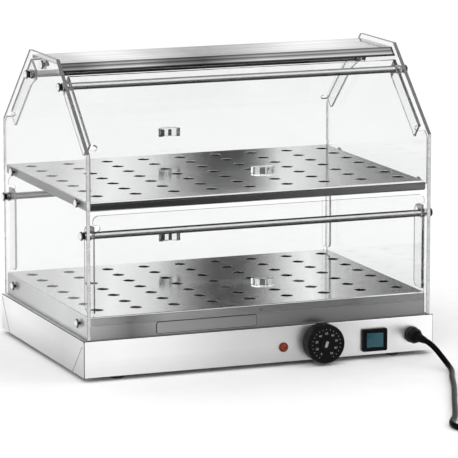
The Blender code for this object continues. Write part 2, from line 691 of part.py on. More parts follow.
# the coil: two turns side by side and two high, as one turned ring
Z0 = -FOOT_H + COIL_LIFT
ring = [(COIL_R - 7.7, Z0 + 2.4), (COIL_R - 5.2, Z0), (COIL_R + 5.2, Z0), (COIL_R + 7.7, Z0 + 2.4), (COIL_R + 7.7, Z0 + 12.8), (COIL_R + 5.2, Z0 + 15.2), (COIL_R - 5.2, Z0 + 15.2), (COIL_R - 7.7, Z0 + 12.8)]
bm = bmesh.new()
N = 28
loops = [[bm.verts.new(coil_point(360 * i / N, r, z)) for r, z in ring] for i in range(N)]
for i in range(N):
    p, q = loops[i], loops[(i + 1) % N]
    for j in range(len(ring)):
        k = (j + 1) % len(ring)
        bm.faces.new((p[j], p[k], q[k], q[j]))
to_object("cord_coil", bm, RUBBER)

# the tie: a flat strap around the coil at one place
TIE_DEG = 285.0


def strap(r0, r1, z0, z1, half):
    def build(bm):
        c, s = math.cos(math.radians(TIE_DEG)), math.sin(math.radians(TIE_DEG))
        for_r = lambda r, t, z: (COIL_C[0] + r * c - t * s, COIL_C[1] + r * s + t * c, z)
        low = [bm.verts.new(for_r(r, -half, z)) for r, z in ((r0, z0), (r1, z0), (r1, z1), (r0, z1))]
        high = [bm.verts.new(for_r(r, half, z)) for r, z in ((r0, z0), (r1, z0), (r1, z1), (r0, z1))]
        bm.faces.new(low)
        bm.faces.new(high)
        for i in range(4):
            j = (i + 1) % 4
            bm.faces.new((low[i], low[j], high[j], high[i]))
    return build


bm = bmesh.new()
strap(COIL_R - 10.4, COIL_R + 9.9, -FOOT_H + 0.1, Z0 + 16.6, 6.0)(bm)
tie = to_object("coil_tie", bm, RUBBER)
cut(tie, "cut_tie", [strap(COIL_R - 9.1, COIL_R + 8.6, Z0 - 0.3, Z0 + 15.6, 12.0)])

# the plug: the cord leaves the outer upper turn at EXIT on a straight line
EXIT = 320.0
TAIL = 66.0
TOP = Z0 + 1.5 * CORD_D


def tail_point(d, side=0.0, z=None):
    x, y, _ = coil_point(EXIT, R_OUT, 0)
    dx, dy = -math.sin(math.radians(EXIT)), math.cos(math.radians(EXIT))
    return (x + dx * d + dy * side, y + dy * d - dx * side, z if z is not None else 0.0)


PLUG_Z = -FOOT_H + 19.0
tube("cord_tail", smooth([tail_point(28.6, 0, TOP), tail_point(38.0, 0, TOP + 0.8), tail_point(54.0, 0, PLUG_Z - 0.8), tail_point(TAIL, 0, PLUG_Z)], 9.0) + [tail_point(TAIL + 9.0, 0, PLUG_Z)], CORD_D / 2, RUBBER, 2)


def add_turned(bm, profile, n, sides=None):
    """A turned solid about the plug's axis; profile is (distance, radius)."""
    rings = []
    for d, r in profile:
        if r <= 0:
            rings.append([bm.verts.new(tail_point(d, 0, PLUG_Z))])
        else:
            rings.append([bm.verts.new(tail_point(d, a, PLUG_Z + b)) for a, b in circle(0, 0, r, n)])
    for p, q in zip(rings, rings[1:]):
        for i in range(n):
            j = (i + 1) % n
            if len(p) == 1:
                bm.faces.new((p[0], q[i], q[j]))
            elif len(q) == 1:
                bm.faces.new((p[i], p[j], q[0]))
            else:
                bm.faces.new((p[i], p[j], q[j], q[i]))
    for ring in (rings[0], rings[-1]):
        if len(ring) > 1:
            bm.faces.new(ring)


D0 = TAIL + 9.3
bm = bmesh.new()
add_turned(bm, [(D0, 5.2), (D0 + 26, 7.2), (D0 + 30, 12.0), (D0 + 36, 17.5), (D0 + 42, 18.8), (D0 + 62, 18.8)], 18)
to_object("mains_plug", bm, BLACK)


def pin(side):
    def build(bm):
        n, rings = 8, []
        for d, r in ((D0 + 60, 2.4), (D0 + 79, 2.4), (D0 + 81, 1.4)):
            rings.append([bm.verts.new(tail_point(d, side * 9.5 + a, PLUG_Z + b)) for a, b in circle(0, 0, r, n)])
        for p, q in zip(rings, rings[1:]):
            for i in range(n):
                j = (i + 1) % n
                bm.faces.new((p[i], p[j], q[j], q[i]))
        bm.faces.new(rings[0])
        bm.faces.new(rings[-1])
    return build


add(bpy.data.objects["mains_plug"], "add_plug_pins", [pin(-1), pin(1)])
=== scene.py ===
import math

import bmesh
import bpy
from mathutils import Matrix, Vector


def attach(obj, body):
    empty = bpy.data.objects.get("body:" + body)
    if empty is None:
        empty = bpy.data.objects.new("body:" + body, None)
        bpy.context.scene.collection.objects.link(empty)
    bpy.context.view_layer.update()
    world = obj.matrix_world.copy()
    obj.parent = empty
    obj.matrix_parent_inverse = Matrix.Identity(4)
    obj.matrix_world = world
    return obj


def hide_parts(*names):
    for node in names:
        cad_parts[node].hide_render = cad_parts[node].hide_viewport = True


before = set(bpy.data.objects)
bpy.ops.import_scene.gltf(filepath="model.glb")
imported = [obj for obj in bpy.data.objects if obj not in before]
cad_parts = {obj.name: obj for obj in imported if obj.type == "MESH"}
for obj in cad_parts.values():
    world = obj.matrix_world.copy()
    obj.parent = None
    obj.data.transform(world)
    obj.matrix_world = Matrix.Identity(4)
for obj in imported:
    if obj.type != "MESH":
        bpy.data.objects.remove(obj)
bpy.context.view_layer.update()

MM = 0.001
CENTRE_Y, FOOT_H = 3.1, 6.0

# ------------------------------------------------------------------ camera
cam = bpy.data.objects.new("camera", bpy.data.cameras.new("camera"))
cam.data.lens, cam.data.sensor_width = 279.07, 36.0
cam.data.clip_start, cam.data.clip_end = 0.1, 60.0
cam.location = (-1.7276, -4.4544, 1.0215)
cam.rotation_euler = (Vector((0.0218, 0.0031, 0.1572)) - cam.location).to_track_quat("-Z", "Y").to_euler()
bpy.context.scene.collection.objects.link(cam)
bpy.context.scene.camera = cam
bpy.context.scene.view_settings.view_transform = "Standard"

# --------------------------------------------------------------- materials


def new_material(name):
    m = bpy.data.materials.new(name)
    m.use_nodes = True
    t = m.node_tree
    return m, t, t.nodes["Principled BSDF"]


def coords(t, scale):
    tc = t.nodes.new("ShaderNodeTexCoord")
    mp = t.nodes.new("ShaderNodeMapping")
    mp.inputs["Scale"].default_value = scale
    t.links.new(tc.outputs["Object"], mp.inputs["Vector"])
    return mp.outputs["Vector"]


def noise(t, scale, size=1.0, detail=3.0, rough=0.5):
    n = t.nodes.new("ShaderNodeTexNoise")
    n.inputs["Scale"].default_value = size
    n.inputs["Detail"].default_value = detail
    n.inputs["Roughness"].default_value = rough
    t.links.new(coords(t, scale), n.inputs["Vector"])
    return n.outputs["Fac"]


def ramp(t, fac, stops):
    """stops: (position, (r, g, b) or grey)."""
    r = t.nodes.new("ShaderNodeValToRGB")
    el = r.color_ramp.elements
    while len(el) < len(stops):
        el.new(0.5)
    for e, (p, c) in zip(el, stops):
        e.position = p
        c = (c, c, c) if isinstance(c, (int, float)) else c
        e.color = (*c, 1)
    t.links.new(fac, r.inputs["Fac"])
    return r.outputs["Color"]


def mul(t, a, b, fac=1.0):
    m = t.nodes.new("ShaderNodeMix")
    m.data_type, m.blend_type = "RGBA", "MULTIPLY"
    m.inputs["Factor"].default_value = fac
    t.links.new(a, m.inputs["A"])
    t.links.new(b, m.inputs["B"])
    return m.outputs["Result"]


def bump(t, b, height, strength, distance):
    n = t.nodes.new("ShaderNodeBump")
    n.inputs["Strength"].default_value = strength
    n.inputs["Distance"].default_value = distance
    t.links.new(height, n.inputs["Height"])
    t.links.new(n.outputs["Normal"], b.inputs["Normal"])


def along(t, axis, lo, hi, wobble=0.0):
    """0 at lo and 1 at hi along a direction of the row frame, in metres."""
    tc = t.nodes.new("ShaderNodeTexCoord")
    dot = t.nodes.new("ShaderNodeVectorMath")
    dot.operation = "DOT_PRODUCT"
    dot.inputs[1].default_value = {"X": (1, 0, 0), "Y": (0, 1, 0), "Z": (0, 0, 1)}.get(axis, axis)
    t.links.new(tc.outputs["Object"], dot.inputs[0])
    mr = t.nodes.new("ShaderNodeMapRange")
    mr.inputs["From Min"].default_value, mr.inputs["From Max"].default_value = lo, hi
    t.links.new(dot.outputs["Value"], mr.inputs["Value"])
    return mr.outputs["Result"]


def facing(t, direction):
    """0 to 1: how far the surface is turned towards a direction of the row frame, for painting into the colour the
    dark and light sides that a polished round shows: painted shade and painted highlight."""
    g = t.nodes.new("ShaderNodeNewGeometry")
    dot = t.nodes.new("ShaderNodeVectorMath")
    dot.operation = "DOT_PRODUCT"
    dot.inputs[1].default_value = direction
    t.links.new(g.outputs["Normal"], dot.inputs[0])
    mr = t.nodes.new("ShaderNodeMapRange")
    mr.inputs["From Min"].default_value, mr.inputs["From Max"].default_value = -1.0, 1.0
    t.links.new(dot.outputs["Value"], mr.inputs["Value"])
    return mr.outputs["Result"]


def steel(name, grain="X", tone=(0.95, 1.0), rough=(0.24, 0.38), bands=None, span=None, fine=1.0, extra=(), tint=1.0, depth=0.12):
    """Brushed stainless: fine lines along grain, soft cloudy smears, and, over large faces, broad light and dark bands
    painted into the colour along set directions: painted reflections, and painted shade where a ramp darkens a face
    towards an edge."""
    m, t, b = new_material(name)
    b.inputs["Metallic"].default_value = 1.0
    s = {"X": (3, 520, 520), "Y": (520, 3, 520), "Z": (520, 520, 3)}[grain]
    lines = noise(t, tuple(v * fine for v in s), 1.0, 4.0, 0.65)
    cloud = noise(t, (9, 9, 9), 1.0, 3.0, 0.5)
    c = mul(t, ramp(t, lines, [(0.3, tone[0]), (0.7, tone[1])]), ramp(t, cloud, [(0.3, 0.96), (0.7, 1.0)]))
    if bands:
        c = mul(t, c, ramp(t, along(t, *span), bands))
    for stops, where in extra:
        c = mul(t, c, ramp(t, along(t, *where), stops))
    t.links.new(c, b.inputs["Base Color"])
    mr = t.nodes.new("ShaderNodeMapRange")
    mr.inputs["To Min"].default_value, mr.inputs["To Max"].default_value = rough
    t.links.new(lines, mr.inputs["Value"])
    t.links.new(mr.outputs["Result"], b.inputs["Roughness"])
    bump(t, b, lines, depth, 0.0002)
    b.inputs["Anisotropic"].default_value = 0.4
    b.inputs["Specular Tint"].default_value = (tint, tint, tint, 1)
    return m


def polished(name, tone=0.74, rough=(0.08, 0.2), sides=None):
    m, t, b = new_material(name)
    b.inputs["Metallic"].default_value = 1.0
    n = noise(t, (300, 300, 300), 1.0, 3.0)
    c = ramp(t, n, [(0.3, tone * 0.9), (0.7, tone)])
    # sides: a ramp on how the surface faces, painted into the colour: painted highlight where it faces one way,
    # painted shade elsewhere
    if sides:
        c = mul(t, c, ramp(t, facing(t, sides[0]), sides[1]))
    t.links.new(c, b.inputs["Base Color"])
    mr = t.nodes.new("ShaderNodeMapRange")
    mr.inputs["To Min"].default_value, mr.inputs["To Max"].default_value = rough
    t.links.new(n, mr.inputs["Value"])
    t.links.new(mr.outputs["Result"], b.inputs["Roughness"])
    bump(t, b, n, 0.05, 0.0001)
    b.inputs["Specular Tint"].default_value = (0.45, 0.45, 0.45, 1)
    return m


def acrylic(name, tint=(0.942, 0.946, 0.946), rough=(0.0, 0.02), ior=1.2):
    """Clear cast sheet: real refraction, a faint cool tint, and a few cleaning
    smears in its gloss."""
    m, t, b = new_material(name)
    b.inputs["Transmission Weight"].default_value = 1.0
    b.inputs["IOR"].default_value = ior
    b.inputs["Specular IOR Level"].default_value = 0.3
    smear = noise(t, (14, 14, 14), 1.0, 5.0, 0.6)
    t.links.new(ramp(t, smear, [(0.3, tuple(v * 0.985 for v in tint)), (0.7, tint)]), b.inputs["Base Color"])
    mr = t.nodes.new("ShaderNodeMapRange")
    mr.inputs["From Min"].default_value, mr.inputs["From Max"].default_value = 0.5, 0.8
    mr.inputs["To Min"].default_value, mr.inputs["To Max"].default_value = rough
    t.links.new(smear, mr.inputs["Value"])
    t.links.new(mr.outputs["Result"], b.inputs["Roughness"])
    return m


def plastic(name, colour, rough=(0.3, 0.45), grain=1500, depth=0.00004, coat=0.0, spec=0.5):
    m, t, b = new_material(name)
    n = noise(t, (grain, grain, grain), 1.0, 3.0, 0.6)
    big = noise(t, (40, 40, 40), 1.0, 2.0, 0.5)
    c = mul(t, ramp(t, n, [(0.3, tuple(v * 0.8 for v in colour)), (0.7, colour)]), ramp(t, big, [(0.3, 0.9), (0.7, 1.0)]))
    t.links.new(c, b.inputs["Base Color"])
    mr = t.nodes.new("ShaderNodeMapRange")
    mr.inputs["To Min"].default_value, mr.inputs["To Max"].default_value = rough
    t.links.new(big, mr.inputs["Value"])
    t.links.new(mr.outputs["Result"], b.inputs["Roughness"])
    bump(t, b, n, 0.3, depth)
    b.inputs["Coat Weight"].default_value = coat
    b.inputs["Coat Roughness"].default_value = 0.08
    b.inputs["Specular IOR Level"].default_value = spec
    return m


def cut_edge(name, tone, through, rough=0.3):
    """The sawn and flamed edge of a clear sheet: it scatters where the faces
    are clear, with faint marks along it."""
    m, t, b = new_material(name)
    b.inputs["Transmission Weight"].default_value = through
    b.inputs["IOR"].default_value = 1.49
    n = noise(t, (60, 60, 60), 1.0, 4.0, 0.6)
    t.links.new(ramp(t, n, [(0.35, tone * 0.8), (0.65, tone)]), b.inputs["Base Color"])
    mr = t.nodes.new("ShaderNodeMapRange")
    mr.inputs["To Min"].default_value, mr.inputs["To Max"].default_value = rough * 0.6, rough * 1.2
    t.links.new(n, mr.inputs["Value"])
    t.links.new(mr.outputs["Result"], b.inputs["Roughness"])
    return m


M = {
    # the base's front, ends and top are lit and shaded copies of one steel, each with light and dark bands painted on
    # as reflections: the front light at both ends with a grey stretch between them; front and ends darker towards the
    # bottom, painted shade
    "base_front": steel("base_front_steel", "X", tone=(0.97, 1.0), bands=[(0.0, 0.93), (0.10, 0.97), (0.22, 0.90), (0.42, 0.70), (0.60, 0.62), (0.74, 0.80), (0.84, 0.97), (1.0, 1.0)], span=("X", -0.25, 0.25), extra=[([(0.0, 0.9), (0.5, 1.0), (1.0, 0.97)], ("Z", 0.006, 0.055))]),
    "base_side": steel("base_side_steel", "Y", bands=[(0.0, 0.82), (0.25, 0.74), (0.6, 0.88), (0.85, 0.97), (1.0, 0.9)], span=("Y", -0.172, 0.178), extra=[([(0.0, 0.78), (0.6, 1.0), (1.0, 1.0)], ("Z", 0.006, 0.055))]),
    "base_top": steel("base_top_steel", "X", bands=[(0.0, 0.9), (0.5, 0.7), (1.0, 0.9)], span=("X", -0.25, 0.25)),
    # bend: dark steel for the rounded folds: the thin dark lines along them are painted shade
    "bend": steel("painted_shade_bend_steel", "X", tone=(0.015, 0.03), rough=(0.3, 0.4), tint=0.2),
    # lip: a bright copy of the steel for the bevel along a front's top edge, a painted highlight
    "lip": steel("lip_steel", "X", tone=(0.92, 1.0), rough=(0.15, 0.25)),
    # the decks' light and dark bands are painted reflections, laid out along a fixed direction in plan
    "shelf_deck": steel("shelf_deck_steel", "X", tone=(0.94, 1.0), rough=(0.08, 0.15), bands=[(0.0, 0.34), (0.12, 0.42), (0.19, 0.75), (0.25, 1.0), (0.33, 0.75), (0.41, 0.36), (0.5, 0.16), (0.58, 0.24), (0.655, 1.0), (0.75, 0.55), (0.85, 0.28), (1.0, 0.18)], span=((1, -0.39, 0), -0.30, 0.30), tint=0.88, depth=0.03),
    "tray_deck": steel("tray_deck_steel", "X", tone=(0.94, 1.0), rough=(0.08, 0.15), bands=[(0.0, 0.45), (0.1, 0.5), (0.18, 0.75), (0.25, 1.0), (0.33, 0.75), (0.4, 0.45), (0.5, 0.42), (0.6, 0.5), (0.68, 0.75), (0.735, 1.0), (0.8, 0.6), (0.9, 0.5), (1.0, 0.4)], span=((1, -0.39, 0), -0.30, 0.30), tint=0.88, depth=0.03),
    # the tray's front: dark bands painted on as reflections, and painted shade towards its bottom and top edges
    "tray_front": steel("tray_front_steel", "X", tone=(0.96, 1.0), bands=[(0.0, 0.40), (0.06, 0.30), (0.12, 0.17), (0.22, 0.34), (0.40, 0.26), (0.6, 0.19), (0.8, 0.21), (1.0, 0.28)], span=("X", -0.24, 0.24), extra=[([(0.0, 0.8), (0.5, 1.0), (0.9, 1.0), (1.0, 0.5)], ("Z", 0.0553, 0.0853))]),
    # the shelf's front: a near-black copy of the steel, a painted dark reflection
    "shelf_front": steel("shelf_front_steel", "X", bands=[(0.0, 0.03), (0.2, 0.028), (0.5, 0.05), (0.8, 0.10), (1.0, 0.14)], span=("X", -0.24, 0.24), tint=0.4),
    # the side flanges and the shelf's underside: darker copies of the steel with painted reflection bands; the
    # underside's darkness is painted shade
    "flange": steel("flange_steel", "Y", bands=[(0.0, 0.3), (0.5, 0.2), (1.0, 0.3)], span=("Y", -0.17, 0.175), tint=0.6),
    "tray_flange": steel("tray_flange_steel", "Y", bands=[(0.0, 0.72), (0.3, 0.8), (0.7, 0.6), (1.0, 0.4)], span=("Y", -0.17, 0.175)),
    # the roof: broad bands across it and thin stripes along it, all painted reflections
    "roof": steel("roof_steel", "X", tone=(0.85, 1.0), rough=(0.08, 0.16), bands=[(0.0, 0.42), (0.06, 0.45), (0.14, 1.0), (0.23, 1.0), (0.32, 0.42), (0.42, 0.26), (0.5, 0.6), (0.6, 1.0), (0.85, 1.0), (1.0, 0.85)], span=("X", -0.24, 0.24), tint=0.9, extra=[([(0.0, 0.03), (0.012, 0.06), (0.022, 0.75), (0.04, 0.4), (0.055, 0.12), (0.07, 0.5), (0.085, 0.2), (0.1, 0.06), (0.125, 0.85), (0.16, 0.5), (0.2, 0.9), (0.25, 0.5), (0.32, 1.0), (0.42, 0.8), (0.5, 1.0), (0.62, 0.8), (0.75, 1.0), (0.93, 0.9), (1.0, 0.3)], ("Y", -0.062, 0.053))]),
    # the name plate: a grey gradient painted on as a reflection
    "plate": steel("plate_steel", "X", tone=(0.95, 1.0), bands=[(0.0, 0.30), (1.0, 0.22)], span=("X", -0.147, -0.006)),
    # inside: near-black steel for inner faces, recesses and what shows through the holes: painted shade
    "inside": steel("painted_shade_inside_steel", "X", tone=(0.01, 0.02), rough=(0.4, 0.6), tint=0.15),
    # polished: painted highlight on the faces turned along the rods, painted shade round the rims
    "polished": polished("polished_steel", 0.95, (0.1, 0.2), ((1, 0, 0), [(0.0, 1.0), (0.1, 1.0), (0.17, 0.3), (0.25, 0.03), (0.5, 0.02), (0.75, 0.03), (0.83, 0.3), (0.9, 1.0), (1.0, 1.0)])),
    # rod: painted shade on the lower side and a painted highlight stripe above the middle
    "rod": polished("rod_steel", 0.9, (0.12, 0.2), ((0, -0.5, 0.87), [(0.0, 0.05), (0.42, 0.06), (0.62, 0.1), (0.76, 0.2), (0.86, 0.85), (0.94, 0.95), (1.0, 0.3)])),
    "zinc": polished("zinc_plate", 0.5, (0.3, 0.5)),
    "clear": acrylic("clear_acrylic_sheet"),
    "clear_thick": acrylic("clear_acrylic_block", (0.90, 0.92, 0.92), ior=1.49),
    # three tones of one cut edge, given by which way the edge faces: lit and shaded copies, painted light and shade
    "edge_light": cut_edge("acrylic_edge_light", 0.78, 0.35),
    "edge_grey": cut_edge("acrylic_edge_grey", 0.16, 0.3),
    "edge_dark": cut_edge("acrylic_edge_dark", 0.04, 0.2),
    "edge_flap": cut_edge("acrylic_edge_flap", 0.26, 0.5, 0.2),
    "pad": plastic("pull_pad", (0.05, 0.05, 0.05), (0.3, 0.4)),
    "dial": plastic("dial_print", (0.30, 0.30, 0.29), (0.4, 0.5), 900, 0.00001),
    "black": plastic("black_moulding", (0.0045, 0.0045, 0.005), (0.34, 0.46), 1800, spec=0.07),
    "black_gloss": plastic("black_gloss_moulding", (0.003, 0.003, 0.0033), (0.2, 0.3), 900, 0.00001, 0.0, 0.08),
    "rubber": plastic("black_pvc", (0.003, 0.003, 0.0033), (0.2, 0.3), 1200, 0.00003, spec=0.015),
    "foot": plastic("foot_rubber", (0.02, 0.02, 0.02), (0.6, 0.75), 900, 0.0001),
    "teal": plastic("teal_rocker", (0.015, 0.075, 0.10), (0.12, 0.2), 900, 0.00001, 0.35, 0.2),
    "white": plastic("white_print", (0.82, 0.82, 0.8), (0.4, 0.5), 900, 0.00001),
    "ceramic": plastic("white_ceramic", (0.8, 0.79, 0.74), (0.4, 0.6), 500),
    "brass": polished("pin_brass", 0.7, (0.15, 0.3)),
    "tie": plastic("tie_strap", (0.02, 0.02, 0.022), (0.5, 0.6), 2500, 0.0001),
}
amber, t_, b_ = new_material("amber_lens")
n_ = t_.nodes.new("ShaderNodeTexVoronoi")
n_.inputs["Scale"].default_value = 1.0
t_.links.new(coords(t_, (900, 900, 900)), n_.inputs["Vector"])
t_.links.new(ramp(t_, n_.outputs["Distance"], [(0.0, (0.46, 0.085, 0.03)), (0.4, (0.2, 0.03, 0.012)), (0.75, (0.07, 0.01, 0.005))]), b_.inputs["Base Color"])
b_.inputs["Roughness"].default_value = 0.12
b_.inputs["Specular IOR Level"].default_value = 0.2
bump(t_, b_, n_.outputs["Distance"], 0.3, 0.0003)
M["amber"] = amber

# ----------------------------------------------------------------- helpers
# Pieces are drawn in the case's own millimetres, and stored in the row frame.


def finish_mesh(bm):
    bmesh.ops.recalc_face_normals(bm, faces=bm.faces)
    for v in bm.verts:
        v.co = (v.co.x * MM, (v.co.y + CENTRE_Y) * MM, (v.co.z + FOOT_H) * MM)


def raw(name, bm):
    finish_mesh(bm)
    me = bpy.data.meshes.new(name)
    bm.to_mesh(me)
    bm.free()
    o = bpy.data.objects.new(name, me)
    bpy.context.scene.collection.objects.link(o)
    return o


def done(o, mat, body, nodes, cutters=(), adders=(), bevel=0.0, segments=2, angle=35):
    """Runs the cuts and unions, rounds the edges, keeps flat faces flat to the
    light, and puts the piece on its body in place of its CAD nodes."""
    for op, tools in (("DIFFERENCE", cutters), ("UNION", adders)):
        for shapes in tools:
            bm = bmesh.new()
            for s in shapes:
                s(bm)
            tool = raw("tool", bm)
            m = o.modifiers.new("b", "BOOLEAN")
            m.operation, m.solver, m.object = op, "EXACT", tool
            bake(o)
            bpy.data.objects.remove(tool, do_unlink=True)
    bm = bmesh.new()
    bm.from_mesh(o.data)
    bmesh.ops.remove_doubles(bm, verts=bm.verts, dist=2e-6)
    bmesh.ops.dissolve_limit(bm, angle_limit=math.radians(0.4), verts=bm.verts, edges=bm.edges)
    bm.to_mesh(o.data)
    bm.free()
    o.data.shade_smooth()
    if bevel:
        m = o.modifiers.new("v", "BEVEL")
        m.width, m.segments, m.limit_method, m.angle_limit = bevel * MM, segments, "ANGLE", math.radians(angle)
        m.use_clamp_overlap = True
        m.miter_outer = "MITER_ARC"
    o.data.set_sharp_from_angle(angle=math.radians(angle))
    if bevel:
        bake(o)
        o.data.shade_smooth()
        o.data.set_sharp_from_angle(angle=math.radians(50))
    m = o.modifiers.new("w", "WEIGHTED_NORMAL")
    m.mode, m.weight, m.keep_sharp = "FACE_AREA", 100, True
    bake(o)
    o.data.materials.clear()
    for one in mat if isinstance(mat, (list, tuple)) else [mat]:
        o.data.materials.append(M[one])
    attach(o, body)
    if nodes:
        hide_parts(*nodes)
    return o


def bake(o):
    dg = bpy.context.evaluated_depsgraph_get()
    me = bpy.data.meshes.new_from_object(o.evaluated_get(dg))
    o.modifiers.clear()
    old = o.data
    o.data = me
    bpy.data.meshes.remove(old)


def place(axis, s, a, b):
    return {"x": (s, a, b), "y": (a, s, b), "z": (a, b, s)}[axis]


def add_prism(bm, outline, axis, lo, hi):
    low = [bm.verts.new(place(axis, lo, a, b)) for a, b in outline]
    high = [bm.verts.new(place(axis, hi, a, b)) for a, b in outline]
    bm.faces.new(low)
    bm.faces.new(high)
    n = len(outline)
    for i in range(n):
        j = (i + 1) % n
        bm.faces.new((low[i], low[j], high[j], high[i]))


def P(outline, axis, lo, hi):
    return lambda bm: add_prism(bm, outline, axis, lo, hi)


def rect(a0, b0, a1, b1):
    return [(a0, b0), (a1, b0), (a1, b1), (a0, b1)]


def circle(a, b, r, n=32):
    return [(a + r * math.cos(2 * math.pi * (i + 0.5) / n), b + r * math.sin(2 * math.pi * (i + 0.5) / n)) for i in range(n)]


def arc(a, b, r, start, end, n):
    return [(a + r * math.cos(math.radians(start + (end - start) * i / n)), b + r * math.sin(math.radians(start + (end - start) * i / n))) for i in range(n + 1)]


def rounded_rect(a0, b0, a1, b1, r, n=6):
    return arc(a0 + r, b0 + r, r, 180, 270, n) + arc(a1 - r, b0 + r, r, 270, 360, n) + arc(a1 - r, b1 - r, r, 0, 90, n) + arc(a0 + r, b1 - r, r, 90, 180, n)


def prism(name, outline, axis, lo, hi):
    bm = bmesh.new()
    add_prism(bm, outline, axis, lo, hi)
    return raw(name, bm)


def add_lathe(bm, profile, axis, a, b, n, wave=None):
    rings = []
    for s, r in profile:
        if r <= 0:
            rings.append([bm.verts.new(place(axis, s, a, b))])
        else:
            ring = []
            for i in range(n):
                w = 2 * math.pi * (i + 0.5) / n
                k = r * (1 + (wave(s, w) if wave else 0))
                ring.append(bm.verts.new(place(axis, s, a + k * math.cos(w), b + k * math.sin(w))))
            rings.append(ring)
    for p, q in zip(rings, rings[1:]):
        for i in range(n):
            j = (i + 1) % n
            if len(p) == 1:
                bm.faces.new((p[0], q[i], q[j]))
            elif len(q) == 1:
                bm.faces.new((p[i], p[j], q[0]))
            else:
                bm.faces.new((p[i], p[j], q[j], q[i]))
    for ring in (rings[0], rings[-1]):
        if len(ring) > 1:
            bm.faces.new(ring)


def lathe(name, profile, axis, a, b, n, wave=None):
    bm = bmesh.new()
    add_lathe(bm, profile, axis, a, b, n, wave)
    return raw(name, bm)


def soft_profile(points, r=0.5, n=3):
    """A turned profile with its inner corners rounded."""
    out = [points[0]]
    for a, p, c in zip(points, points[1:], points[2:]):
        la, lc = math.dist(a, p), math.dist(c, p)
        k = min(r, la * 0.45, lc * 0.45)
        u = [(x - y) / max(la, 1e-9) for x, y in zip(a, p)]
        v = [(x - y) / max(lc, 1e-9) for x, y in zip(c, p)]
        s, e = [p[i] + u[i] * k for i in (0, 1)], [p[i] + v[i] * k for i in (0, 1)]
        for i in range(n + 1):
            f = i / n
            out.append(tuple((1 - f) ** 2 * s[j] + 2 * f * (1 - f) * p[j] + f * f * e[j] for j in (0, 1)))
    return out + [points[-1]]


def by_normal(o, rules):
    """rules: (material slot number, test of the face's normal and centre)."""
    for p in o.data.polygons:
        for k, test in rules:
            if test(p.normal, p.center):
                p.material_index = k


def block(name, x0, y0, z0, x1, y1, z1, r, n=4):
    """A box with its top and upright edges rounded, as a folded sheet is."""
    bm = bmesh.new()
    add_prism(bm, rect(x0, y0, x1, y1), "z", z0, z1)
    edges = [e for e in bm.edges if max(v.co.z for v in e.verts) > z0 + 1e-6]
    bmesh.ops.bevel(bm, geom=edges, offset=r, segments=n, profile=0.5, affect="EDGES")
    return raw(name, bm)


# --------------------------------------------------------------------- cord
CORD_D = 7.6
GLAND_X, GLAND_Z, F = 218.5, 23.0, -175.0
CORD_OUT = F - 42.0
LIE = -FOOT_H + CORD_D / 2
COIL_C, COIL_R, COIL_LIFT = (168.0, -591.0), 42.0, 1.5
R_OUT, R_IN = COIL_R + CORD_D / 2, COIL_R - CORD_D / 2
ENTRY, EXIT, TIE_DEG, TAIL = 250.0, 320.0, 285.0, 66.0
Z0 = -FOOT_H + COIL_LIFT
LOW, TOP = Z0 + CORD_D / 2, Z0 + 1.5 * CORD_D
PLUG_Z = -FOOT_H + 19.0


def coil_point(deg, r, z):
    return (COIL_C[0] + r * math.cos(math.radians(deg)), COIL_C[1] + r * math.sin(math.radians(deg)), z)


def lead_line(d):
    x, y, _ = coil_point(ENTRY, R_OUT, 0)
    return (x + math.sin(math.radians(ENTRY)) * d, y - math.cos(math.radians(ENTRY)) * d)


def lead_turn(radius, h0, h1, n):
    x, y = lead_line(36.0)
    p = lambda h: (radius * math.sin(math.radians(h)), -radius * math.cos(math.radians(h)))
    ex, ey = p(h1)
    return [(x + p(h)[0] - ex, y + p(h)[1] - ey, LIE) for h in (h0 + (h1 - h0) * i / n for i in range(n + 1))]


def tail_point(d, side=0.0, z=0.0):
    x, y, _ = coil_point(EXIT, R_OUT, 0)
    dx, dy = -math.sin(math.radians(EXIT)), math.cos(math.radians(EXIT))
    return (x + dx * d + dy * side, y + dy * d - dx * side, z)


def smooth(points, step):
    ext = [tuple(2 * a - b for a, b in zip(points[0], points[1]))] + list(points) + [tuple(2 * a - b for a, b in zip(points[-1], points[-2]))]
    fine = []
    for i in range(1, len(ext) - 2):
        p = ext[i - 1 : i + 3]
        t = [0.0]
        for a, b in zip(p, p[1:]):
            t.append(t[-1] + max(math.dist(a, b), 1e-6) ** 0.5)
        for k in range(40):
            u = t[1] + (t[2] - t[1]) * k / 40
            L = [[(t[j + 1] - u) / (t[j + 1] - t[j]) * a + (u - t[j]) / (t[j + 1] - t[j]) * b for a, b in zip(p[j], p[j + 1])] for j in range(3)]
            N = [[(t[j + 2] - u) / (t[j + 2] - t[j]) * a + (u - t[j]) / (t[j + 2] - t[j]) * b for a, b in zip(L[j], L[j + 1])] for j in range(2)]
            fine.append(tuple((t[2] - u) / (t[2] - t[1]) * a + (u - t[1]) / (t[2] - t[1]) * b for a, b in zip(*N)))
    fine.append(points[-1])
    total = sum(math.dist(a, b) for a, b in zip(fine, fine[1:]))
    n = max(2, round(total / step))
    out, walked, k = [fine[0]], 0.0, 1
    for i in range(1, n):
        goal = total * i / n
        while walked + math.dist(fine[k - 1], fine[k]) < goal:
            walked += math.dist(fine[k - 1], fine[k])
            k += 1
        f = (goal - walked) / math.dist(fine[k - 1], fine[k])
        out.append(tuple(a + (b - a) * f for a, b in zip(fine[k - 1], fine[k])))
    return out + [fine[-1]]


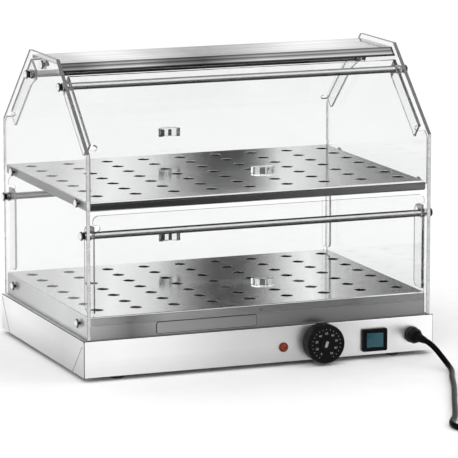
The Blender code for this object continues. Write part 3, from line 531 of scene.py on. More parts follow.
ROUTE = [
    (GLAND_X, CORD_OUT - 9, GLAND_Z - 0.2),
    (GLAND_X + 2.5, CORD_OUT - 24, GLAND_Z - 4.5),
    (GLAND_X + 6.5, CORD_OUT - 41, 8.5),
    (GLAND_X + 7.5, CORD_OUT - 58, 1.2),
    (GLAND_X + 3.5, CORD_OUT - 78, LIE + 0.3),
    (206.0, -331.0, LIE),
    (186.0, -380.0, LIE),
    (154.0, -450.0, LIE),
    (114.0, -537.0, LIE),
    *lead_turn(40.0, 245.0, ENTRY + 90.0, 4),
    (*lead_line(28.6), LIE + 0.8),
]


def ease(x):
    x = min(max(x, 0.0), 1.0)
    return x * x * (3 - 2 * x)


def coil_line():
    """Three turns and a part: the outer one on the table, the inner one beside
    it, then the inner and the outer one on top. Each change of place has its
    own stretch of the circle, so that no turn runs through another."""
    out, end = [], 360 * 3 + EXIT - ENTRY
    n = round(end / 15)
    for i in range(n + 1):
        w = end * i / n
        r = R_OUT + (R_IN - R_OUT) * (ease((w - 300) / 60) - ease((w - 900) / 60))
        z = LOW + (TOP - LOW) * ease((w - 600) / 60)
        out.append(coil_point(ENTRY + w, r, z))
    return out


start = (GLAND_X, CORD_OUT - 0.3, GLAND_Z)
line = [start] + smooth([(GLAND_X, CORD_OUT - 2.0, GLAND_Z)] + ROUTE, 10.0)
line += [(*lead_line(d), LIE + 0.8 + (LOW - LIE - 0.8) * ease((28.6 - d) / 28.6)) for d in (20.0, 10.0)]
line += coil_line()
line += smooth([tail_point(10.0, 0, TOP), tail_point(24.0, 0, TOP), tail_point(38.0, 0, TOP + 0.8), tail_point(54.0, 0, PLUG_Z - 0.8), tail_point(TAIL, 0, PLUG_Z)], 8.0) + [tail_point(TAIL + 9.0, 0, PLUG_Z)]
W = lambda p: (p[0] * MM, (p[1] + CENTRE_Y) * MM, (p[2] + FOOT_H) * MM)
curve = bpy.data.curves.new("power_lead", "CURVE")
curve.dimensions = "3D"
curve.bevel_depth, curve.bevel_resolution, curve.use_fill_caps = CORD_D / 2 * MM, 5, True
spline = curve.splines.new("POLY")
spline.points.add(len(line) - 1)
for p, q in zip(spline.points, line):
    p.co = (*W(q), 1)
spline.use_smooth = True
lead = bpy.data.objects.new("power_lead", curve)
bpy.context.scene.collection.objects.link(lead)
curve.materials.append(M["rubber"])
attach(lead, "case")
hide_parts("power_cord", "cord_coil", "cord_tail")

# the relief: a taper with the rings that let it bend
ribs = [(CORD_OUT, 4.2)]
s = CORD_OUT
while s < F - 21.0:
    r = 4.5 + 1.8 * (s - CORD_OUT) / 22.0
    ribs += [(s + 0.3, r), (s + 1.6, r), (s + 2.0, r - 0.9), (s + 2.9, r - 0.9)]
    s += 3.2
ribs += [(F - 19.5, 6.3), (F - 17.3, 6.5), (F - 17.3, 4.9), (F + 6, 4.9)]
relief = done(lathe("cord_relief", ribs, "y", GLAND_X, GLAND_Z, 40), "rubber", "case", ["strain_relief"])

# the gland's dome nut with its wrench flats, and its flange
nut = soft_profile([(F - 17.0, 5.6), (F - 17.0, 7.0), (F - 15.5, 8.8), (F - 9.5, 10.6), (F - 8.5, 11.1), (F - 3.2, 11.1), (F - 2.6, 10.2), (F - 2.2, 11.2), (F - 0.3, 11.2), (F - 0.3, 8.0), (F + 9.0, 8.0)], 0.4)
hexed = lambda s, w: -0.045 * abs(math.cos(3 * w)) ** 3 if F - 15 < s < F - 3.0 else 0
done(lathe("gland_nut", nut, "y", GLAND_X, GLAND_Z, 72, hexed), "black", "case", ["cord_gland"], cutters=[[lambda bm: add_lathe(bm, [(F - 20, 5.3), (F + 12, 5.3)], "y", GLAND_X, GLAND_Z, 40)]])


def strap(r0, r1, z0, z1, half, r, n=5):
    c, s = math.cos(math.radians(TIE_DEG)), math.sin(math.radians(TIE_DEG))
    at = lambda q, t, z: (COIL_C[0] + q * c - t * s, COIL_C[1] + q * s + t * c, z)

    def build(bm):
        out = rounded_rect(r0, z0, r1, z1, r, n)
        low, high = [bm.verts.new(at(a, -half, b)) for a, b in out], [bm.verts.new(at(a, half, b)) for a, b in out]
        bm.faces.new(low)
        bm.faces.new(high)
        for i in range(len(out)):
            j = (i + 1) % len(out)
            bm.faces.new((low[i], low[j], high[j], high[i]))

    return build


bm = bmesh.new()
strap(COIL_R - 10.2, COIL_R + 9.9, -FOOT_H + 0.1, Z0 + 16.5, 5.8, 3.6)(bm)
tie = done(raw("tie_strap", bm), "tie", "case", ["coil_tie"], cutters=[[strap(COIL_R - 9.0, COIL_R + 8.6, Z0 - 0.3, Z0 + 15.6, 12.0, 2.8)]], bevel=0.25)


def add_plug(bm, profile, n, side=0.0):
    rings = []
    for d, r in profile:
        if r <= 0:
            rings.append([bm.verts.new(tail_point(d, side, PLUG_Z))])
        else:
            rings.append([bm.verts.new(tail_point(d, side + a, PLUG_Z + b)) for a, b in circle(0, 0, r, n)])
    for p, q in zip(rings, rings[1:]):
        for i in range(n):
            j = (i + 1) % n
            if len(p) == 1:
                bm.faces.new((p[0], q[i], q[j]))
            elif len(q) == 1:
                bm.faces.new((p[i], p[j], q[0]))
            else:
                bm.faces.new((p[i], p[j], q[j], q[i]))
    for ring in (rings[0], rings[-1]):
        if len(ring) > 1:
            bm.faces.new(ring)


D0 = TAIL + 9.3
body = [(D0, 4.4), (D0, 5.0)]
for k in range(7):
    d = D0 + 2.0 + 3.4 * k
    r = 5.1 + 2.0 * k / 7
    body += [(d, r), (d + 1.4, r), (d + 1.8, r - 0.8), (d + 2.8, r - 0.8)]
body += [(D0 + 27, 7.4), (D0 + 30, 12.0), (D0 + 33, 15.6), (D0 + 36, 17.4), (D0 + 40, 17.0), (D0 + 46, 16.8), (D0 + 52, 17.6), (D0 + 55, 18.1), (D0 + 61, 18.2), (D0 + 62, 17.7), (D0 + 62, 16.8), (D0 + 61.2, 16.6)]
bm = bmesh.new()
add_plug(bm, body, 48)
plug = done(raw("plug_body", bm), "black", "case", ["mains_plug"], angle=45)
for side, word in ((-9.5, "a"), (9.5, "b")):
    bm = bmesh.new()
    add_plug(bm, [(D0 + 60.0, 2.4), (D0 + 79.4, 2.4), (D0 + 80.2, 1.9), (D0 + 80.5, 1.2), (D0 + 80.5, 0)], 24, side)
    pin = done(raw("plug_pin_" + word, bm), "brass", "case", [])
    pin.parent = plug
    pin.matrix_parent_inverse = plug.matrix_world.inverted()

# --------------------------------------------------------------------- base
KNOB_X, KNOB_Z, LAMP_X, LAMP_Z, SWITCH_X, SWITCH_Z = 85.0, 23.5, 31.0, 20.0, 162.5, 20.3
o = done(
    block("base_shell", -250, -175, 0, 250, 175, 49, 1.6),
    ["base_front", "base_side", "base_top", "inside", "bend"],
    "case",
    ["base_housing"],
    cutters=[
        [P(rect(-248.8, -173.8, 248.8, 173.8), "z", -5, 47.8)],
        [
            P(circle(KNOB_X, KNOB_Z, 5.5), "y", -180, -170),
            P(circle(LAMP_X, LAMP_Z, 4.7), "y", -180, -170),
            P(rect(SWITCH_X - 15.4, SWITCH_Z - 12.9, SWITCH_X + 15.4, SWITCH_Z + 12.9), "y", -180, -170),
            P(circle(GLAND_X, GLAND_Z, 8.3), "y", -180, -170),
            P(rounded_rect(188, 118, 222, 142, 3), "z", 40, 60),
        ],
    ],
    angle=30,
)
# slots by face direction: lit and shaded copies of one steel for front, ends and top; the rounded edges get the dark
# bend steel, painted shade lines; inner and under faces get the near-black inside steel, painted shade
by_normal(
    o,
    [
        (1, lambda n, c: abs(n.x) > 0.7),
        (2, lambda n, c: n.z > 0.95),
        (4, lambda n, c: max(abs(n.x), abs(n.y), abs(n.z)) < 0.97),
        (3, lambda n, c: n.z < -0.7 or (c.y > 0.0031 - 0.1745 and c.y < 0.0031 + 0.1745 and abs(c.x) < 0.2495 and c.z < 0.0543)),
    ],
)

# dark strips along the fold lines pressed into the base's left end: painted shade in the creases
for k, (a, b) in enumerate((((172.6, 44.9), (140.0, 1.0)), ((-167.8, 40.6), (-129.0, 1.0)))):
    l = math.dist(a, b)
    ux, uz = (b[0] - a[0]) / l, (b[1] - a[1]) / l
    w = 0.35
    bm = bmesh.new()
    add_prism(bm, [(a[0] + uz * w, a[1] - ux * w), (b[0] + uz * w, b[1] - ux * w), (b[0] - uz * w, b[1] + ux * w), (a[0] - uz * w, a[1] + ux * w)], "x", -250.12, -249.9)
    done(raw(f"base_crease_{k}", bm), "inside", "case", [])

# ---------------------------------------------------------- tray and shelf
for node, z0, z1, sz, front, deck, side_mat in (("warming_tray", 49.3, 79.3, 66.0, "tray_front", "tray_deck", "tray_flange"), ("upper_shelf", 218.8, 231.6, 226.0, "shelf_front", "shelf_deck", "flange")):
    holes = [P(circle(2.0 + (i - 4) * 53.9, 7.0 + (j - 3) * 44.0, 8.2, 36), "z", z1 - 4, z1 + 3) for i in range(9) for j in range(7)]
    o = done(
        block(node + "_sheet", -239.7, -170, z0, 239.7, 170, z1, 2.6 if node == "upper_shelf" else 1.8),
        [deck, front, "inside", side_mat, "lip"],
        "case",
        [node],
        cutters=[
            [P(rect(-238.5, -168.8, 238.5, 168.8), "z", z0 - 5, z1 - 1.2)],
            holes,
            [P(circle(y, sz, 2.4, 20), "x", x, x + 6) for x in (-242, 236) for y in (-136, 136)],
        ],
        bevel=0.3,
    )
    # slots by face direction: the front gets its painted dark copy, the bevel along its top edge the bright lip (a
    # painted highlight), the ends the flange steel, and inner and under faces the near-black inside steel, painted
    # shade
    by_normal(
        o,
        [
            (1, lambda n, c: n.y < -0.93),
            (4, lambda n, c: -0.93 < n.y < -0.12 and n.z > 0.2),
            (3, lambda n, c: abs(n.x) > 0.8),
            (2, lambda n, c, z1=z1: n.z < -0.7 or (n.z < 0.5 and c.z < (z1 - 2.0 + 6) * MM and abs(c.y - 0.0031) < 0.1693 and abs(c.x) < 0.239)),
        ],
    )
    # the pressed sheet is dead flat: its faces are lit by their own normals
    custom = o.data.attributes.get("custom_normal")
    if custom:
        o.data.attributes.remove(custom)
    for p in o.data.polygons:
        if max(abs(v) for v in p.normal) > 0.9999:
            p.use_smooth = False

# dark floors under the tray's and shelf's holes, so that the holes show black: painted shade; the shelf's underside
# gets the darker flange steel, painted shade
done(prism("tray_floor", rounded_rect(-238, -168.4, 238, 168.4, 2), "z", 49.35, 50.1), "inside", "case", [], bevel=0.1)
done(prism("shelf_floor", rounded_rect(-238.2, -168.5, 238.2, 168.5, 1), "z", 219.0, 220.0), ["inside", "flange"], "case", ["shelf_bottom"], bevel=0.15)
by_normal(bpy.data.objects["shelf_floor"], [(1, lambda n, c: n.z < -0.5)])
# the plate's edges get the dark bend steel, a painted dark outline; a thin dark frame behind it, a little larger, is a
# painted shadow gap round it
o = done(prism("tray_plate", rounded_rect(-147, 51.5, -6, 66.3, 2.5), "y", -171.0, -170.3), ["plate", "bend"], "case", ["name_plate"], bevel=0.2)
by_normal(o, [(1, lambda n, c: n.y > -0.9)])
done(prism("tray_plate_shadow_gap", rounded_rect(-147.7, 50.8, -5.3, 67.0, 3.0), "y", -170.36, -169.9), "bend", "case", [])
done(lathe("stop_dot_upper", soft_profile([(-170.3, 0), (-170.3, 1.7), (-171.2, 1.5), (-171.2, 0)], 0.3), "y", 0, 229.9, 24), "clear_thick", "case", ["flap_stop_upper"])
done(lathe("stop_dot_lower", soft_profile([(-170.3, 0), (-170.3, 3.0), (-171.2, 2.6), (-171.2, 0)], 0.3), "y", 0, 73.0, 32), "clear_thick", "case", ["flap_stop_lower"])

# --------------------------------------------------- end panels, rods, screws
GABLE = [(-174, 49.3), (174, 49.3), (174, 295), (56, 405), (-56, 405), (-174, 295)]
RODS = {"front_upper": (-78.0, 371.0), "back_upper": (58.0, 371.0), "front_lower": (-164.0, 187.0), "back_lower": (164.0, 187.0)}
SCREWS = {"tray_front": (-136, 66), "tray_back": (136, 66), "shelf_front": (-136, 226), "shelf_back": (136, 226), "roof": (0, 391)}
for side, sx in (("left", -1), ("right", 1)):
    lo, hi = sorted((sx * 240.0, sx * 245.0))
    o = done(
        prism("end_panel_" + side, GABLE, "x", lo, hi),
        ["clear", "edge_light", "edge_grey", "edge_dark"],
        "case",
        ["side_panel_" + side],
        cutters=[[P(circle(y, z, 5.15, 32), "x", lo - 2, hi + 2) for y, z in RODS.values()] + [P(circle(y, z, 2.4, 20), "x", lo - 2, hi + 2) for y, z in SCREWS.values()]],
        bevel=0.35,
    )
    # edge tones by direction: light on front and back edges, grey on top and bottom edges, dark on the rounded ones:
    # painted light and shade on one cut edge
    by_normal(
        o,
        [
            (1, lambda n, c: abs(n.x) < 0.2 and abs(n.y) > 0.9),
            (2, lambda n, c: abs(n.x) < 0.2 and abs(n.y) <= 0.9),
            (3, lambda n, c: 0.2 <= abs(n.x) < 0.95),
            (0, lambda n, c: abs(n.x) < 0.9 and abs(c.y - 0.0031) < 0.1725 and c.z < 0.3 and abs(n.z) < 0.99 or abs(n.x) < 0.9 and c.z < 0.056),
        ],
    )
    for name, (y, z) in SCREWS.items():
        prof = [(249.55, 0), (249.45, 1.4), (249.0, 2.8), (248.3, 4.1), (247.3, 5.2), (246.3, 5.9), (245.5, 6.0), (245.3, 5.8), (245.3, 2.0), (233.4, 2.0), (233.0, 1.6), (233.0, 0)]
        done(lathe(f"screw_{name}_{side}_turned", [(sx * s, r) for s, r in prof], "x", y, z, 36), "polished", "case", [f"screw_{name}_{side}"], angle=45)
    for name, (y, z) in RODS.items():
        prof = [(252.35, 0), (252.25, 1.6), (251.8, 3.0), (250.9, 4.5), (249.9, 5.5), (249.0, 6.0), (248.2, 6.0), (247.9, 5.7), (247.6, 4.3), (247.3, 4.1), (245.3, 4.1), (245.3, 2.3), (236.0, 2.3), (236.0, 0)]
        done(lathe(f"cap_{name}_{side}_turned", [(sx * s, r) for s, r in prof], "x", y, z, 36), "polished", "case", [f"rod_cap_{name}_{side}"], angle=45)
for name, (y, z) in RODS.items():
    prof = soft_profile([(-244.7, 2.6), (-244.7, 4.75), (-239.6, 4.75), (-239.6, 6.2), (-236.4, 6.2), (-236.4, 4.75), (236.4, 4.75), (236.4, 6.2), (239.6, 6.2), (239.6, 4.75), (244.7, 4.75), (244.7, 2.6)], 0.35)
    done(
        lathe(f"bar_{name}", prof, "x", y, z, 40),
        "rod",
        "case",
        ["rod_" + name],
        cutters=[[P(circle(y, z, 2.6, 24), "x", x, x + 20) for x in (-252.0, 232.0)]],
        angle=40,
    )

# --------------------------------------------------------------- roof strip
def fillet(p0, p1, p2, r, n):
    def unit(a, b):
        l = math.hypot(b[0] - a[0], b[1] - a[1])
        return ((b[0] - a[0]) / l, (b[1] - a[1]) / l)

    u, v = unit(p1, p0), unit(p1, p2)
    half = math.acos(u[0] * v[0] + u[1] * v[1]) / 2
    back = r / math.tan(half)
    a, b = (p1[0] + u[0] * back, p1[1] + u[1] * back), (p1[0] + v[0] * back, p1[1] + v[1] * back)
    m = unit((0, 0), (u[0] + v[0], u[1] + v[1]))
    c = (p1[0] + m[0] * r / math.sin(half), p1[1] + m[1] * r / math.sin(half))
    s, e = math.atan2(a[1] - c[1], a[0] - c[0]), math.atan2(b[1] - c[1], b[0] - c[0])
    turn = (e - s + math.pi) % (2 * math.pi) - math.pi
    return [p0] + [(c[0] + r * math.cos(s + turn * i / n), c[1] + r * math.sin(s + turn * i / n)) for i in range(n + 1)] + [p2]


def offset_path(points, d):
    out = []
    for i, p in enumerate(points):
        dirs = []
        for a, b in ((i - 1, i), (i, i + 1)):
            if a >= 0 and b < len(points):
                dx, dy = points[b][0] - points[a][0], points[b][1] - points[a][1]
                l = math.hypot(dx, dy)
                dirs.append((dy / l, -dx / l))
        nx, ny = sum(v[0] for v in dirs), sum(v[1] for v in dirs)
        l = math.hypot(nx, ny)
        nx, ny = nx / l, ny / l
        k = d / (nx * dirs[0][0] + ny * dirs[0][1])
        out.append((p[0] + nx * k, p[1] + ny * k))
    return out


mid = fillet((49.4, 394.0), (49.4, 398.4), (0, 398.4), 1.6, 4)[:-1] + fillet((0, 398.4), (-53.8, 398.4), (-64.8, 388.15), 2.0, 5)
outline = offset_path(mid, 0.6) + offset_path(mid, -0.6)[::-1]
done(
    prism("roof_sheet", outline, "x", -239.5, 239.5),
    "roof",
    "case",
    ["roof_strip"],
    adders=[[P(arc(0, 391.0, 6.5, 180, 360, 10) + [(15, 395), (15, 398.3), (-15, 398.3), (-15, 395)], "x", x, x + 1.2) for x in (-239.5, 238.3)]],
    cutters=[],
    angle=30,
)

# -------------------------------------------------------------------- flaps
LEN = math.hypot(118.0, 110.0)
DOWN = (-118.0 / LEN, -110.0 / LEN)
OUT = (DOWN[1], -DOWN[0])


def slope(t, n):
    return (-56.0 + t * DOWN[0] - n * OUT[0], 405.0 + t * DOWN[1] - n * OUT[1])


mirror = lambda outline, side: [(-side * y, z) for y, z in outline]
CX, HALF, T = 235.7, 239.4, 3.0


def flap_edges(o):
    """The narrow faces of a bent sheet are its cut edges."""
    for p in o.data.polygons:
        xs = [o.data.vertices[i].co.x for i in p.vertices]
        wide = max(xs) - min(xs)
        if (wide < 0.0036 and not (abs(p.normal.x) > 0.9 and p.area > 0.0012)) or (wide > 0.05 and abs(p.normal.z) > 0.9):
            p.material_index = 1


def upper_flap(word, side, rod):
    name, node = f"{word}_upper_sheet", f"{word}_upper_flap"
    ry, rz = -abs(rod[0]), rod[1]
    t_rod = (ry + 56) * DOWN[0] + (rz - 405) * DOWN[1]
    n_rod = -((ry + 56) * OUT[0] + (rz - 405) * OUT[1])
    deep = n_rod > 15
    t_top = t_rod - (5.0 if deep else 11.0)
    mid = 1.4 + T / 2
    y_mid = -174.5 + T / 2
    t_bend = (y_mid - slope(0, mid)[0]) / DOWN[0]
    path = fillet(slope(t_top, mid), slope(t_bend, mid), (y_mid, 228.0), 8, 14)
    sheet = offset_path(path, T / 2) + offset_path(path, -T / 2)[::-1]
    flip = lambda o: mirror(o, side)
    side_cut = [slope(t_top - 10, -8), slope(147.0, -8), slope(147.0, 12), slope(t_top - 10, 12)]

    def slot(s):
        def build(bm):
            pts = [(s * 246, 4), (s * 246, -4), (s * 230, -4)] + [(s * 230 - s * 4 * math.sin(math.radians(a)), -4 * math.cos(math.radians(a))) for a in range(15, 180, 15)] + [(s * 230, 4)]
            low, high = [], []
            for x, dt in pts:
                for n, ring in ((-6, low), (12, high)):
                    y, z = slope(148.5 + dt, n)
                    ring.append(bm.verts.new((x, -side * y, z)))
            bm.faces.new(low)
            bm.faces.new(high)
            for i in range(len(pts)):
                j = (i + 1) % len(pts)
                bm.faces.new((low[i], low[j], high[j], high[i]))

        return build

    t_end, n_in, n0 = 143.5, 26.4, 3.0
    if deep:
        eye = [slope(t_rod + 9.5 * math.sin(math.radians(a)), n_rod + 9.5 * math.cos(math.radians(a))) for a in range(-110, 45, 10)]
        cheek = [slope(t_top, n0)] + eye + [slope(t_rod + 22, n_in)]
    else:
        cheek = [slope(t_top, n0)] + [slope(t_top + 12 - 12 * math.cos(math.radians(a)), n_in - 12 + 12 * math.sin(math.radians(a))) for a in range(0, 91, 9)]
    cheek += [slope(t_end - 3 + 3 * math.sin(math.radians(a)), n_in - 3 + 3 * math.cos(math.radians(a))) for a in range(0, 91, 15)] + [slope(t_end, n0)]
    o = prism(name, flip(sheet), "x", -HALF, HALF)
    steps = (
        ("DIFFERENCE", [P(flip(side_cut), "x", x0, x1) for x0, x1 in ((-246, -CX), (CX, 246))]),
        ("DIFFERENCE", [slot(-1), slot(1)]),
        ("UNION", [P(flip(cheek), "x", x0, x0 + T) for x0 in (-CX, CX - T)]),
        ("DIFFERENCE", [P(circle(side * abs(ry), rz, 5.15, 32), "x", x, x + 20) for x in (-246, 226)]),
    )
    run_steps(o, steps)
    done(o, ["clear", "edge_flap"], f"{word}_upper_door", [node], bevel=0.3)
    flap_edges(o)


def run_steps(o, steps):
    for op, shapes in steps:
        bm = bmesh.new()
        for s in shapes:
            s(bm)
        tool = raw("tool", bm)
        m = o.modifiers.new("b", "BOOLEAN")
        m.operation, m.solver, m.object = op, "EXACT", tool
        bake(o)
        bpy.data.objects.remove(tool, do_unlink=True)


def lower_flap(word, side, rod):
    y_out, y_in = -174.5, -171.5
    flip = lambda o: mirror(o, side)
    Wd, z0, z1 = 236.0, 68.0, 214.0
    outline = [(-Wd, z0 + 2), (-Wd + 0.6, z0 + 0.6), (-Wd + 2, z0), (Wd - 2, z0), (Wd - 0.6, z0 + 0.6), (Wd, z0 + 2)]
    slot = [(Wd, 193.5), (230.2, 193.5)] + [(230.2 - 4.2 * math.sin(math.radians(a)), 197.7 - 4.2 * math.cos(math.radians(a))) for a in range(15, 180, 15)] + [(230.2, 201.9), (Wd, 201.9)]
    corner = [(Wd, 206.0)] + arc(Wd - 8, 206.0, 8, 0, 90, 10)[1:]
    right = slot + corner
    outline += right + [(-x, z) for x, z in right[::-1]]
    lo, hi = sorted((-side * y_out, -side * y_in))
    o = prism(f"{word}_lower_sheet", outline, "y", lo, hi)
    cheek = [(y_in - 1.4, 85.0)] + arc(-154.0, 93.0, 8.0, 270, 360, 12) + arc(-158.4, 186.6, 12.4, 0, 90, 14) + [(y_in + 0.25, 199.0), (y_in + 0.25, 193.3), (y_in - 1.4, 193.3)]
    run_steps(
        o,
        (
            ("UNION", [P(flip(cheek), "x", x0, x0 + T) for x0 in (-Wd, Wd - T)]),
            ("DIFFERENCE", [P(circle(side * abs(rod[0]), rod[1], 5.15, 32), "x", x, x + 20) for x in (-246, 226)]),
        ),
    )
    done(o, ["clear", "edge_flap"], f"{word}_lower_door", [f"{word}_lower_flap"], bevel=0.3)
    flap_edges(o)


for word, side in (("front", -1), ("back", 1)):
    upper_flap(word, side, RODS[word + "_upper"])
    lower_flap(word, side, RODS[word + "_lower"])
    for tier, z in (("upper", 261.0), ("lower", 112.0)):
        outline = [(x, side * (174.8 + y)) for x, y in arc(0, 0, 16.0, 0, 180, 36)]
        done(prism(f"{word}_{tier}_pull", outline, "z", z - 6, z + 6), "clear_thick", f"{word}_{tier}_door", [f"{word}_{tier}_handle"], bevel=0.8, segments=3)
        lo, hi = sorted((side * 174.55, side * 174.78))
        for k, (x0, x1) in enumerate(((-13.5, -7.5), (-2.0, 3.0), (10.5, 12.0))):
            done(prism(f"{word}_{tier}_pad_{k}", rounded_rect(x0, z - 4.6, x1, z + 4.6, 0.6, 3), "y", lo, hi), "pad", f"{word}_{tier}_door", [])

# ----------------------------------------------------------------- controls
flute = lambda s, w: (-0.018 * (0.5 + 0.5 * math.cos(30 * w)) ** 2) if F - 17.5 < s < F - 2.5 else 0
prof = [(F - 1.0, 3.4), (F - 1.0, 24.6), (F - 1.4, 25.6), (F - 2.2, 26.2), (F - 3.2, 26.3), (F - 4.0, 26.35), (F - 16.0, 26.5), (F - 17.6, 26.5), (F - 19.2, 26.4), (F - 20.6, 25.9), (F - 21.5, 25.0), (F - 21.9, 24.0), (F - 21.9, 23.2), (F - 21.4, 22.4), (F - 20.4, 21.8), (F - 20.1, 20.8), (F - 20.1, 0)]
knob = lathe("knob_moulding", prof, "y", KNOB_X, KNOB_Z, 180, flute)
done(knob, "black", "knob", ["control_knob"], cutters=[[lambda bm: add_lathe(bm, [(F + 2, 3.4), (F - 12.5, 3.4)], "y", KNOB_X, KNOB_Z, 32)]], angle=40)
TILT = math.radians(20)


def turned(points, z=KNOB_Z):
    return [(KNOB_X + a * math.cos(TILT) + b * math.sin(TILT), KNOB_Z - a * math.sin(TILT) + b * math.cos(TILT)) for a, b in points]


done(lathe("knob_boss", soft_profile([(F - 19.9, 9.6), (F - 21.6, 9.2), (F - 21.6, 7.6), (F - 21.0, 6.8), (F - 21.0, 0)], 0.4), "y", KNOB_X, KNOB_Z, 64), "black", "knob", [], angle=45)
done(prism("knob_pointer", turned(rounded_rect(-1.9, -4.4, 1.9, 4.4, 1.6, 4)), "y", F - 21.5, F - 20.9), "dial", "knob", [], bevel=0.2)
for k in range(21):
    a = math.radians(240 - 15 * k)
    c, s_ = math.cos(a), math.sin(a)
    at = lambda r, q: (KNOB_X + r * c - q * s_, KNOB_Z + r * s_ + q * c)
    bm = bmesh.new()
    add_prism(bm, [at(19.3, -0.28), at(20.9, -0.28), at(20.9, 0.28), at(19.3, 0.28)], "y", F - 20.22, F - 20.05)
    done(raw(f"knob_tick_{k}", bm), "dial", "knob", [])
for k, word in enumerate(("0", "20", "30", "40", "50", "60", "70", "80", "90")):
    a = math.radians(240 - 37.5 * k)
    c = bpy.data.curves.new(f"num_{k}", "FONT")
    c.body, c.size, c.extrude, c.align_x, c.align_y = word, 4.3 * MM, 0.04 * MM, "CENTER", "CENTER"
    txt = bpy.data.objects.new(f"num_{k}", c)
    bpy.context.scene.collection.objects.link(txt)
    txt.rotation_euler = (math.pi / 2, 0, 0)
    txt.location = W((KNOB_X + 14.6 * math.cos(a), F - 20.15, KNOB_Z + 14.6 * math.sin(a)))
    bpy.context.view_layer.update()
    me = bpy.data.meshes.new_from_object(txt.evaluated_get(bpy.context.evaluated_depsgraph_get()))
    me.transform(txt.matrix_world)
    bpy.data.objects.remove(txt, do_unlink=True)
    num = bpy.data.objects.new(f"knob_number_{k}", me)
    bpy.context.scene.collection.objects.link(num)
    me.materials.clear()
    me.materials.append(M["dial"])
    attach(num, "knob")

lens = soft_profile([(F - 6.0, 0), (F - 5.9, 1.4), (F - 5.2, 3.2), (F - 4.0, 4.6), (F - 2.6, 5.1), (F - 0.6, 5.2), (F - 0.6, 4.3), (F + 3.4, 4.3)], 0.3)
done(lathe("lamp_dome", lens, "y", LAMP_X, LAMP_Z, 48), "amber", "case", ["lamp_lens"], angle=45)
bezel = soft_profile([(F - 0.35, 5.25), (F - 1.9, 5.25), (F - 2.2, 5.7), (F - 1.5, 6.5), (F - 0.35, 6.55)], 0.25)
bm = bmesh.new()
add_lathe(bm, bezel, "y", LAMP_X, LAMP_Z, 48)
done(raw("lamp_bezel", bm), "amber", "case", [], angle=45)

done(
    prism("switch_frame", rounded_rect(SWITCH_X - 18.3, SWITCH_Z - 15.5, SWITCH_X + 18.3, SWITCH_Z + 15.5, 2.5, 5), "y", F - 4.3, F - 0.3),
    "black_gloss",
    "case",
    ["switch_body"],
    cutters=[[P(rounded_rect(SWITCH_X - 12.9, SWITCH_Z - 10.2, SWITCH_X + 12.9, SWITCH_Z + 10.2, 1.0, 3), "y", F - 8, F + 14)]],
    bevel=0.6,
    segments=3,
)
rear = prism("switch_case", rect(SWITCH_X - 15.1, SWITCH_Z - 12.6, SWITCH_X + 15.1, SWITCH_Z + 12.6), "y", F - 0.25, F + 20)
done(rear, "black", "case", [], cutters=[[P(rect(SWITCH_X - 12.9, SWITCH_Z - 10.2, SWITCH_X + 12.9, SWITCH_Z + 10.2), "y", F - 8, F + 14)]], bevel=0.3)
PIVOT_Y = F - 1.5
tip = math.radians(-7)
face = [(-11.5 + 23.0 * i / 16, -5.0 + 1.4 * (1 - ((i - 8) / 8) ** 2)) for i in range(17)]
shape = face + [(12.3, 0.0), (8.0, 8.5), (-8.0, 8.5), (-12.3, 0.0)]
shape = [(SWITCH_X + x * math.cos(tip) - y * math.sin(tip), PIVOT_Y + x * math.sin(tip) + y * math.cos(tip)) for x, y in shape]
done(prism("rocker_cap", shape, "z", SWITCH_Z - 9.8, SWITCH_Z + 9.8), "teal", "rocker", ["switch_rocker"], bevel=0.45, segments=3, angle=25)

# ------------------------------------------- CAD nodes that stay, out of sight
for node, mat in {
    "bottom_plate": "zinc",
    "foot_front_left": "foot",
    "foot_front_right": "foot",
    "foot_back_left": "foot",
    "foot_back_right": "foot",
    "thermostat": "zinc",
    "lamp_holder": "black",
    "heating_element": "zinc",
    "terminal_block": "ceramic",
}.items():
    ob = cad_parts[node]
    if ob.material_slots:
        for s_ in ob.material_slots:
            s_.material = M[mat]
    else:
        ob.data.materials.append(M[mat])

# ---------------------------------------------------------- floor and light
fm, t, b = new_material("floor_paper")
b.inputs["Roughness"].default_value = 0.9
b.inputs["Specular IOR Level"].default_value = 0.1
t.links.new(ramp(t, noise(t, (30, 30, 30)), [(0.3, 0.88), (0.7, 0.9)]), b.inputs["Base Color"])
bm = bmesh.new()
bmesh.ops.create_grid(bm, x_segments=1, y_segments=1, size=30.0)
me = bpy.data.meshes.new("floor")
bm.to_mesh(me)
bm.free()
me.materials.append(fm)
floor = bpy.data.objects.new("floor", me)
floor.location.z = -0.0003
bpy.context.scene.collection.objects.link(floor)

world = bpy.data.worlds.new("studio")
bpy.context.scene.world = world
world.use_nodes = True
bg = world.node_tree.nodes["Background"]
wt = world.node_tree
tc = wt.nodes.new("ShaderNodeTexCoord")
sep = wt.nodes.new("ShaderNodeSeparateXYZ")
wt.links.new(tc.outputs["Generated"], sep.inputs["Vector"])
wr = wt.nodes.new("ShaderNodeValToRGB")
for e, (p, c) in zip((wr.color_ramp.elements[0], wr.color_ramp.elements[1], wr.color_ramp.elements.new(0.75)), ((0.0, 0.9), (1.0, 0.85), (0.6, 1.0))):
    e.position, e.color = p, (c, c, c, 1)
mr = wt.nodes.new("ShaderNodeMapRange")
mr.inputs["From Min"].default_value, mr.inputs["From Max"].default_value = -1.0, 1.0
wt.links.new(sep.outputs["Z"], mr.inputs["Value"])
wt.links.new(mr.outputs["Result"], wr.inputs["Fac"])
wt.links.new(wr.outputs["Color"], bg.inputs["Color"])
bg.inputs["Strength"].default_value = 1.12


def area(name, loc, at, size, power):
    l = bpy.data.lights.new(name, "AREA")
    l.shape, l.size, l.size_y, l.energy = "RECTANGLE", size[0], size[1], power
    o = bpy.data.objects.new(name, l)
    o.location = loc
    o.rotation_euler = (Vector(at) - Vector(loc)).to_track_quat("-Z", "Y").to_euler()
    bpy.context.scene.collection.objects.link(o)


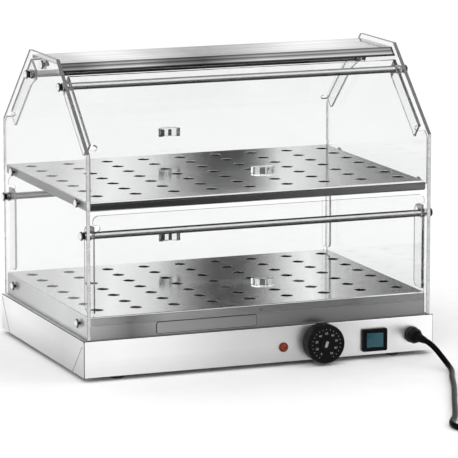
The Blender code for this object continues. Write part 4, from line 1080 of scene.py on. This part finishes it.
# dark flags stand back from the case, so that its steel has something to
# mirror: they are there for reflections only
cm, t, b = new_material("flag_cloth")
b.inputs["Roughness"].default_value = 1.0
b.inputs["Specular IOR Level"].default_value = 0.0
t.links.new(ramp(t, noise(t, (60, 60, 60)), [(0.3, 0.008), (0.7, 0.012)]), b.inputs["Base Color"])
tc = t.nodes.new("ShaderNodeTexCoord")
sep = t.nodes.new("ShaderNodeSeparateXYZ")
t.links.new(tc.outputs["Object"], sep.inputs["Vector"])
fades = []
for out, keep in (("X", 0.15), ("Z", 0.45)):
    a = t.nodes.new("ShaderNodeMath")
    a.operation = "ABSOLUTE"
    t.links.new(sep.outputs[out], a.inputs[0])
    f = t.nodes.new("ShaderNodeMapRange")
    f.interpolation_type = "SMOOTHSTEP"
    f.inputs["From Min"].default_value, f.inputs["From Max"].default_value = keep, 1.0
    f.inputs["To Min"].default_value, f.inputs["To Max"].default_value = 1.0, 0.0
    t.links.new(a.outputs["Value"], f.inputs["Value"])
    fades.append(f.outputs["Result"])
a = t.nodes.new("ShaderNodeMath")
a.operation = "MULTIPLY"
t.links.new(fades[0], a.inputs[0])
t.links.new(fades[1], a.inputs[1])
t.links.new(a.outputs["Value"], b.inputs["Alpha"])
for k, (x0, y0, x1, y1, z0, z1) in enumerate(((0.824, 2.5, 1.164, 2.5, 0.44, 0.78), (-1.6, 2.35, -1.0, 2.65, 0.4, 1.7), (2.35, 1.0, 2.55, 0.3, 0.4, 1.6), (-2.55, 0.1, -2.35, 0.9, 0.4, 1.6), (1.2, 2.5, 1.7, 2.5, 0.44, 0.78))):
    bm = bmesh.new()
    bm.faces.new([bm.verts.new(p) for p in ((-1, 0, -1), (1, 0, -1), (1, 0, 1), (-1, 0, 1))])
    me = bpy.data.meshes.new(f"flag_{k}")
    bm.to_mesh(me)
    bm.free()
    me.materials.append(cm)
    flag = bpy.data.objects.new(f"flag_{k}", me)
    flag.location = ((x0 + x1) / 2, (y0 + y1) / 2, (z0 + z1) / 2)
    flag.rotation_euler = (0, 0, math.atan2(y1 - y0, x1 - x0))
    flag.scale = (math.dist((x0, y0), (x1, y1)) / 2, 1, (z1 - z0) / 2)
    bpy.context.scene.collection.objects.link(flag)
    flag.visible_camera = flag.visible_diffuse = flag.visible_shadow = False


area("key", (-1.6, -2.6, 2.6), (0, 0, 0.2), (1.6, 1.6), 26)
area("fill", (2.6, -1.4, 1.6), (0, 0, 0.2), (1.6, 1.6), 10)
